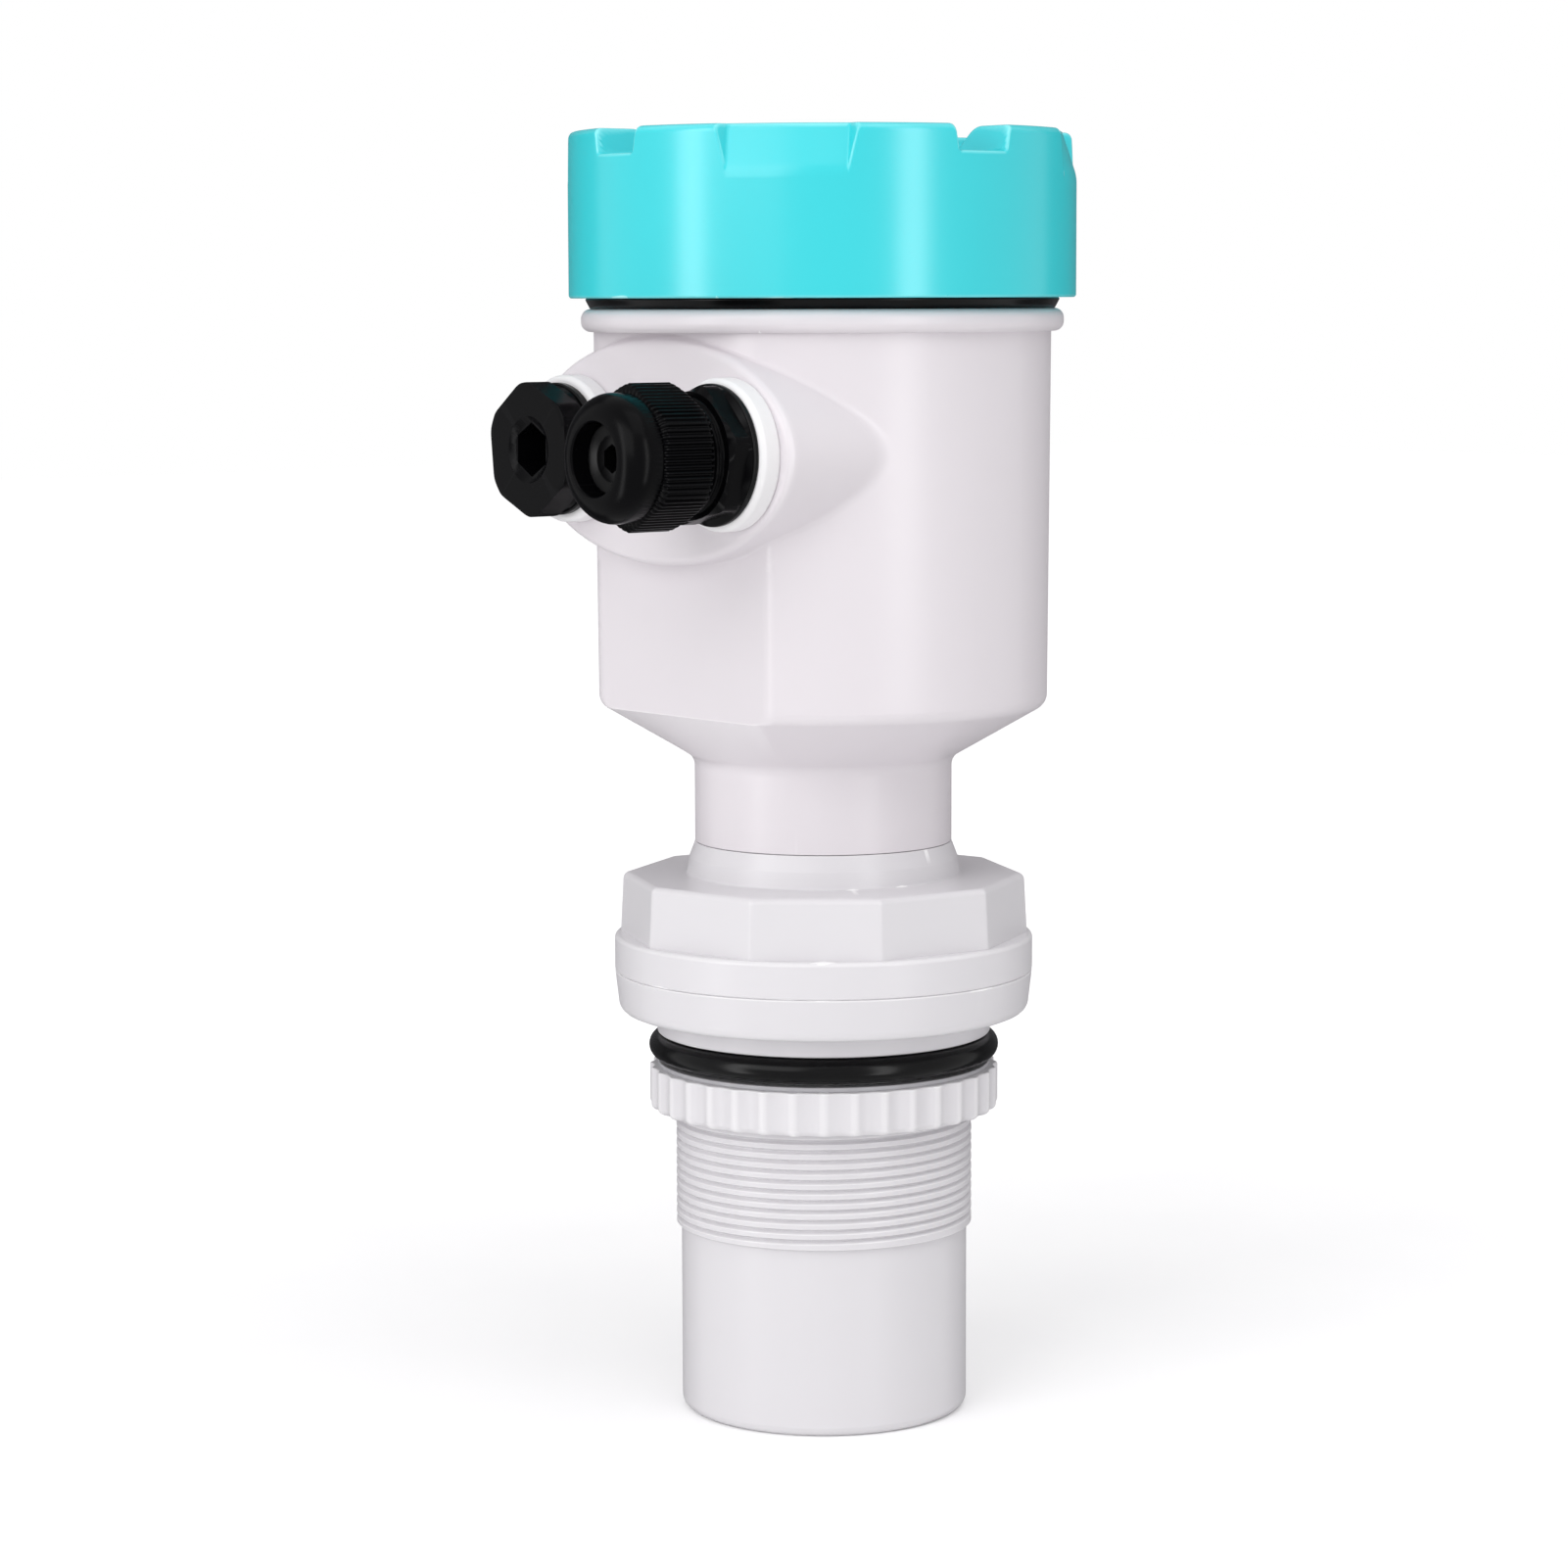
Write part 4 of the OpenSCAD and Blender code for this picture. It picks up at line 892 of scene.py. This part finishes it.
rows = np.concatenate([
    sweep(back, rib_turns),
    sweep(grip, rib_turns, ribbed),
    sweep(dome + inside, rib_turns)])
piece("gland_clamp", at_entry(rows, 1), black_nylon, "gland_nut", ["gland_nut"])

# %% Cable seal
seal_front = -span("gland_seal")[0][1]
seal_back = -span("gland_seal")[1][1]
NOSE = DOME_END - 4.4
seal_hole = flats(6, SOCKET_TURN, 2.4, 0.05, corner=0.2)


def holed(r, z, turns):
    """Round outside, and a hexagonal hole inside."""
    return seal_hole(r, z, turns) if r < 3 else np.full(len(turns), r)


section = soften([(2.8, seal_back, 0.3), (9, seal_back, 0.5), (9, seal_front - 0.4, 0.4),
                  (6.7, seal_front, 0.2), (6.7, NOSE + 0.8, 0.3), (4.5, NOSE, 1.5),
                  (2.8, NOSE, 0.15)], 6)
rows = sweep(section, corner_columns(6, SOCKET_TURN), holed)
piece("gland_rubber", at_entry(rows, 1), black_epdm, "gland_seal", ["gland_seal"])

# %% [markdown]
# The unused entry is shut by a blanking plug. Its hexagon has cut corners, and a key fits the
# hexagon socket in its middle.

# %% Blanking plug
PLUG_TURN = 35.9
HEAD_END = 0.6 - span("blank_plug")[0][1]
HEAD_Y = -span("plug_gasket")[0][1]
section = soften([(0.001, HEAD_Y - 10, 0), (9.6, HEAD_Y - 10, 0.4), (10, HEAD_Y, 0), (12.5, HEAD_Y, 0.2),
                  (12.5, HEAD_Y + 1, 0), (13.2, HEAD_Y + 1.2, 0.2), (13.2, HEAD_END, 0.25),
                  (11.9, HEAD_END, 0), (11.6, HEAD_END, 0), (7.3, HEAD_END, 0), (7, HEAD_END, 0),
                  (6.6, HEAD_END, 0.1), (5.45, HEAD_END - 0.8, 0)])
socket = [(5.6, HEAD_END - 0.85), (5.6, HEAD_END - 1), (5.6, HEAD_END - 4),
          (5.6, HEAD_END - 7.5), (0.001, HEAD_END - 7.5)]
plug_turns = columns(3, *[(PLUG_TURN + k * 60, 13, 0.5) for k in range(6)],
                     *[(SOCKET_TURN + k * 60, 2, 0.5) for k in range(6)])
rows = np.concatenate([
    sweep(section, plug_turns, flats(6, PLUG_TURN, 12.2, 0.3, low=HEAD_Y + 1)),
    sweep(socket, plug_turns, flats(6, SOCKET_TURN, 4.65, 0.1, corner=0.2))])
piece("plug_head", at_entry(rows, -1), black_nylon, "blank_plug", ["blank_plug"], loop=False)

# %% [markdown]
# ## Seals
#
# The lid's seal shows as a thin dark line that flares a little under the lid. The big O-ring
# under the shoulder is a plain torus: a circle of section, swept once round.

# %% Lid seal and O-ring
section = soften([(LID_BORE, Z_SEAL, 0.3), (seal_high[0] - 1.1, Z_SEAL, 0.3),
                  (seal_high[0], Z_LID, 0.3), (LID_BORE, Z_LID, 0.3)])
piece("lid_gasket", sweep(section, columns(2)), black_epdm, "lid_seal", ["lid_seal"])

ring_low, ring_high = span("mounting_oring")
thick = (ring_high[2] - ring_low[2]) / 2
section = [(ring_high[0] - thick + thick * math.cos(a), ring_low[2] + thick + thick * math.sin(a))
           for a in np.radians(np.arange(0, 360, 12))]
piece("mounting_seal", sweep(section, columns(2)), black_epdm, "mounting_oring", ["mounting_oring"])

# %% [markdown]
# ## Process collar
#
# The collar joins the head to the sensor. Its grip has ten drafted flats whose upright edges
# and rim are well rounded. The flats limit the radius only above the round ring.

# %% Collar
collar_low, collar_high = span("process_collar")
Z_SEAM = collar_low[2]
Z_GRIP = Z_SEAM + 7.3
Z_FLARE = Z_NECK - 6.75
RING_R = collar_high[0]
GRIP_TURN = -24.3
GRIP_HALF = 82.4 / 2 * math.cos(math.radians(18))
GRIP_EDGE = 1.3


def grip_half(z):
    """Half width across the grip's flats, which lean in and round over at the top."""
    lean = GRIP_HALF - 0.62 * (z - Z_GRIP) / (Z_FLARE - Z_GRIP)
    over = max(0, z - (Z_FLARE - GRIP_EDGE))
    return lean - (GRIP_EDGE - math.sqrt(max(0, GRIP_EDGE ** 2 - over ** 2)))


ring_part = soften([(RING_R - 10, Z_SEAM + 5, 0), (RING_R - 10, Z_SEAM, 0), (RING_R, Z_SEAM, 0.5),
                    (RING_R, Z_GRIP, 0.9), (RING_R - 12, Z_GRIP, 0)])[1:-1]
side_part = [(44, Z_GRIP), (44, Z_GRIP + 0.5)]
side_part += [(44, z) for z in np.linspace(Z_GRIP + 3, Z_FLARE - 1.4, 4)]
side_part += [(44, Z_FLARE - GRIP_EDGE + GRIP_EDGE * math.sin(a))
              for a in np.radians((12, 25, 38, 50, 62, 74, 84, 89.9))]
flare = soften([(36, Z_FLARE, 0), (27.5, Z_FLARE, 0.5), (27.1, Z_FLARE + 3.4, 1.2),
                (NECK_R, Z_NECK - 0.12, 0.15), (21.37, Z_NECK - 0.12, 0), (21.37, Z_NECK + 3, 0)])[:-1]
spigot = soften([(21.37, Z_NECK, 0), (21.37, collar_high[2], 0.6), (16.87, collar_high[2], 0.4),
                 (16.87, Z_SEAM + 8, 0.4), (30, Z_SEAM + 8, 0.5), (30, Z_SEAM, 0)])
collar_turns = columns(2, *[(GRIP_TURN + 36 * k, 1, 0.125) for k in range(10)])
rows = np.concatenate([
    sweep(ring_part, collar_turns),
    sweep(side_part, collar_turns, flats(10, GRIP_TURN, grip_half, 0.1, corner=1.6)),
    sweep(flare + spigot, collar_turns)])
piece("collar_grip", rows, grey_pp, "process_collar", ["process_collar"])

# %% [markdown]
# ## Sensor tube
#
# The tube, its thread and its shoulder are one moulding. The thread is real geometry, two
# millimetres to a turn, with sixteen rows to a turn so that crests and roots stay round. Its
# lower end is cut square, so the last crest closes into a ring.

# %% Sensor
nut_low, nut_high = span("ring_nut")
Z_THREAD = 38
Z_SHOULDER = Z_THREAD + 39.2
TUBE_R = 29
THREAD_R = 30
Z_RING = Z_SHOULDER + 4.3
cut = screw_thread(2, 0.85, 0.4)


def process_thread(r, z, turns):
    """The sensor's thread, which gives way to a plain ring in its lowest millimetre."""
    end = np.clip((z - Z_THREAD - 0.5) / 0.5, 0, 1)
    return cut(r, z, turns) * end + r * (1 - end)


bottom = soften([(0.001, 0, 0), (TUBE_R, 0, 2), (TUBE_R, Z_THREAD, 0)], 8)[:-1]
bottom += [(TUBE_R, z) for z in np.linspace(6, Z_THREAD - 0.5, 6)]
winding = [(TUBE_R + 0.05, Z_THREAD), (THREAD_R - 0.15, Z_THREAD + 0.02)]
winding += [(THREAD_R, z) for z in np.arange(Z_THREAD + 0.125, Z_SHOULDER, 0.125)]
shoulder = soften([(THREAD_R - 1, Z_SHOULDER, 0), (33.7, Z_SHOULDER, 0.4), (33.7, Z_RING, 0.5),
                   (RING_R - 1, Z_RING, 2.2), (RING_R, Z_SEAM, 0.35), (RING_R - 6, Z_SEAM, 0)])[:-1]
well = [(RING_R - 6, Z_SEAM), (27.3, Z_SEAM), (27.3, Z_RING + 1), (25, Z_RING + 1), (25, 3), (0.001, 3)]
sensor_turns = columns(2.5)
rows = np.concatenate([
    sweep(bottom, sensor_turns),
    sweep(winding, sensor_turns, process_thread),
    sweep(shoulder + well, sensor_turns)])
piece("sensor_tube", rows, grey_pp, "sensor_body", ["sensor_body"], loop=False)

# %% [markdown]
# ## Ring nut and slip washer
#
# The nut clamps the sensor in a tank wall. Its rim is fluted by shallow scallops that meet in
# crisp ridges, and a thin slip washer keeps it from dragging on the seal.

# %% Ring nut
FLUTES = 36
NUT_R = 35.3
FLUTE_DEPTH = 0.75
flute_turns = columns(1)


def fluted(r, z, turns):
    """Shallow scallops round the rim, and none on the bore."""
    across = (turns * FLUTES / 360) % 1 * 2 - 1
    scallop = np.clip(1 - (across / 0.86) ** 2, 0, 1)
    depth = FLUTE_DEPTH if r > 33.5 else 0
    return r - depth * scallop


section = soften([(30.35, nut_low[2] + 0.8, 0), (31.1, nut_low[2], 0.2), (NUT_R, nut_low[2], 1.3),
                  (NUT_R, nut_high[2], 0.35), (31, nut_high[2], 0.2), (30.35, nut_high[2] - 0.7, 0)])
piece("nut_ring", sweep(section, flute_turns, fluted), grey_pp, "ring_nut", ["ring_nut"])

washer_low, washer_high = span("slip_washer")
section = soften([(30.4, washer_low[2], 0.15), (washer_high[0], washer_low[2], 0.2),
                  (washer_high[0], washer_high[2], 0.2), (30.4, washer_high[2], 0.15)])
piece("washer_ring", sweep(section, columns(2)), washer_acetal, "slip_washer", ["slip_washer"])

# %% [markdown]
# ## Carried-over pieces
#
# The pieces inside keep their shapes from the frame. Each gets the finish of its own material, and all but
# the neck's O-ring get a small bevel, since no real edge is perfectly sharp.

# %% Finishes for the inner pieces
inner = {
    "neck_oring": (black_epdm, 0), "collar_gasket": (black_epdm, 0.2),
    "radar_board": (board_mask, 0.15), "antenna_horn": (aluminium, 0.2),
    "antenna_lens": (lens_ptfe, 0.2), "signal_ribbon": (ribbon_pvc, 0.2),
    "electronics_cup": (potting_resin, 0.4), "cup_screws": (steel, 0.15),
    "terminal_block": (terminal_pa, 0.25), "terminal_screws": (steel, 0.1),
    "display_standoffs": (brass, 0.2), "display_board": (board_mask, 0.15),
    "display_frame": (bezel_abs, 0.3), "lcd_panel": (lcd_glass, 0.15),
    "display_window": (clear_acrylic, 0.2), "key_1": (key_silicone, 0.3),
    "key_2": (key_silicone, 0.3), "key_3": (key_silicone, 0.3), "key_4": (key_silicone, 0.3)}
for name, (material, bevel) in inner.items():
    obj = frame["nodes"][name]
    obj.data.materials.clear()
    obj.data.materials.append(material)
    if bevel:
        round_off = obj.modifiers.new("round_edges", "BEVEL")
        round_off.width = bevel / 1000
        round_off.segments = 2
        round_off.limit_method = "ANGLE"
        round_off.angle_limit = math.radians(40)
print(len(inner), "inner pieces finished")

# %% [markdown]
# ## Check the size
# ## Size
# The skins must not make the part bigger than the frame says.

# %% End
print("Scene built")
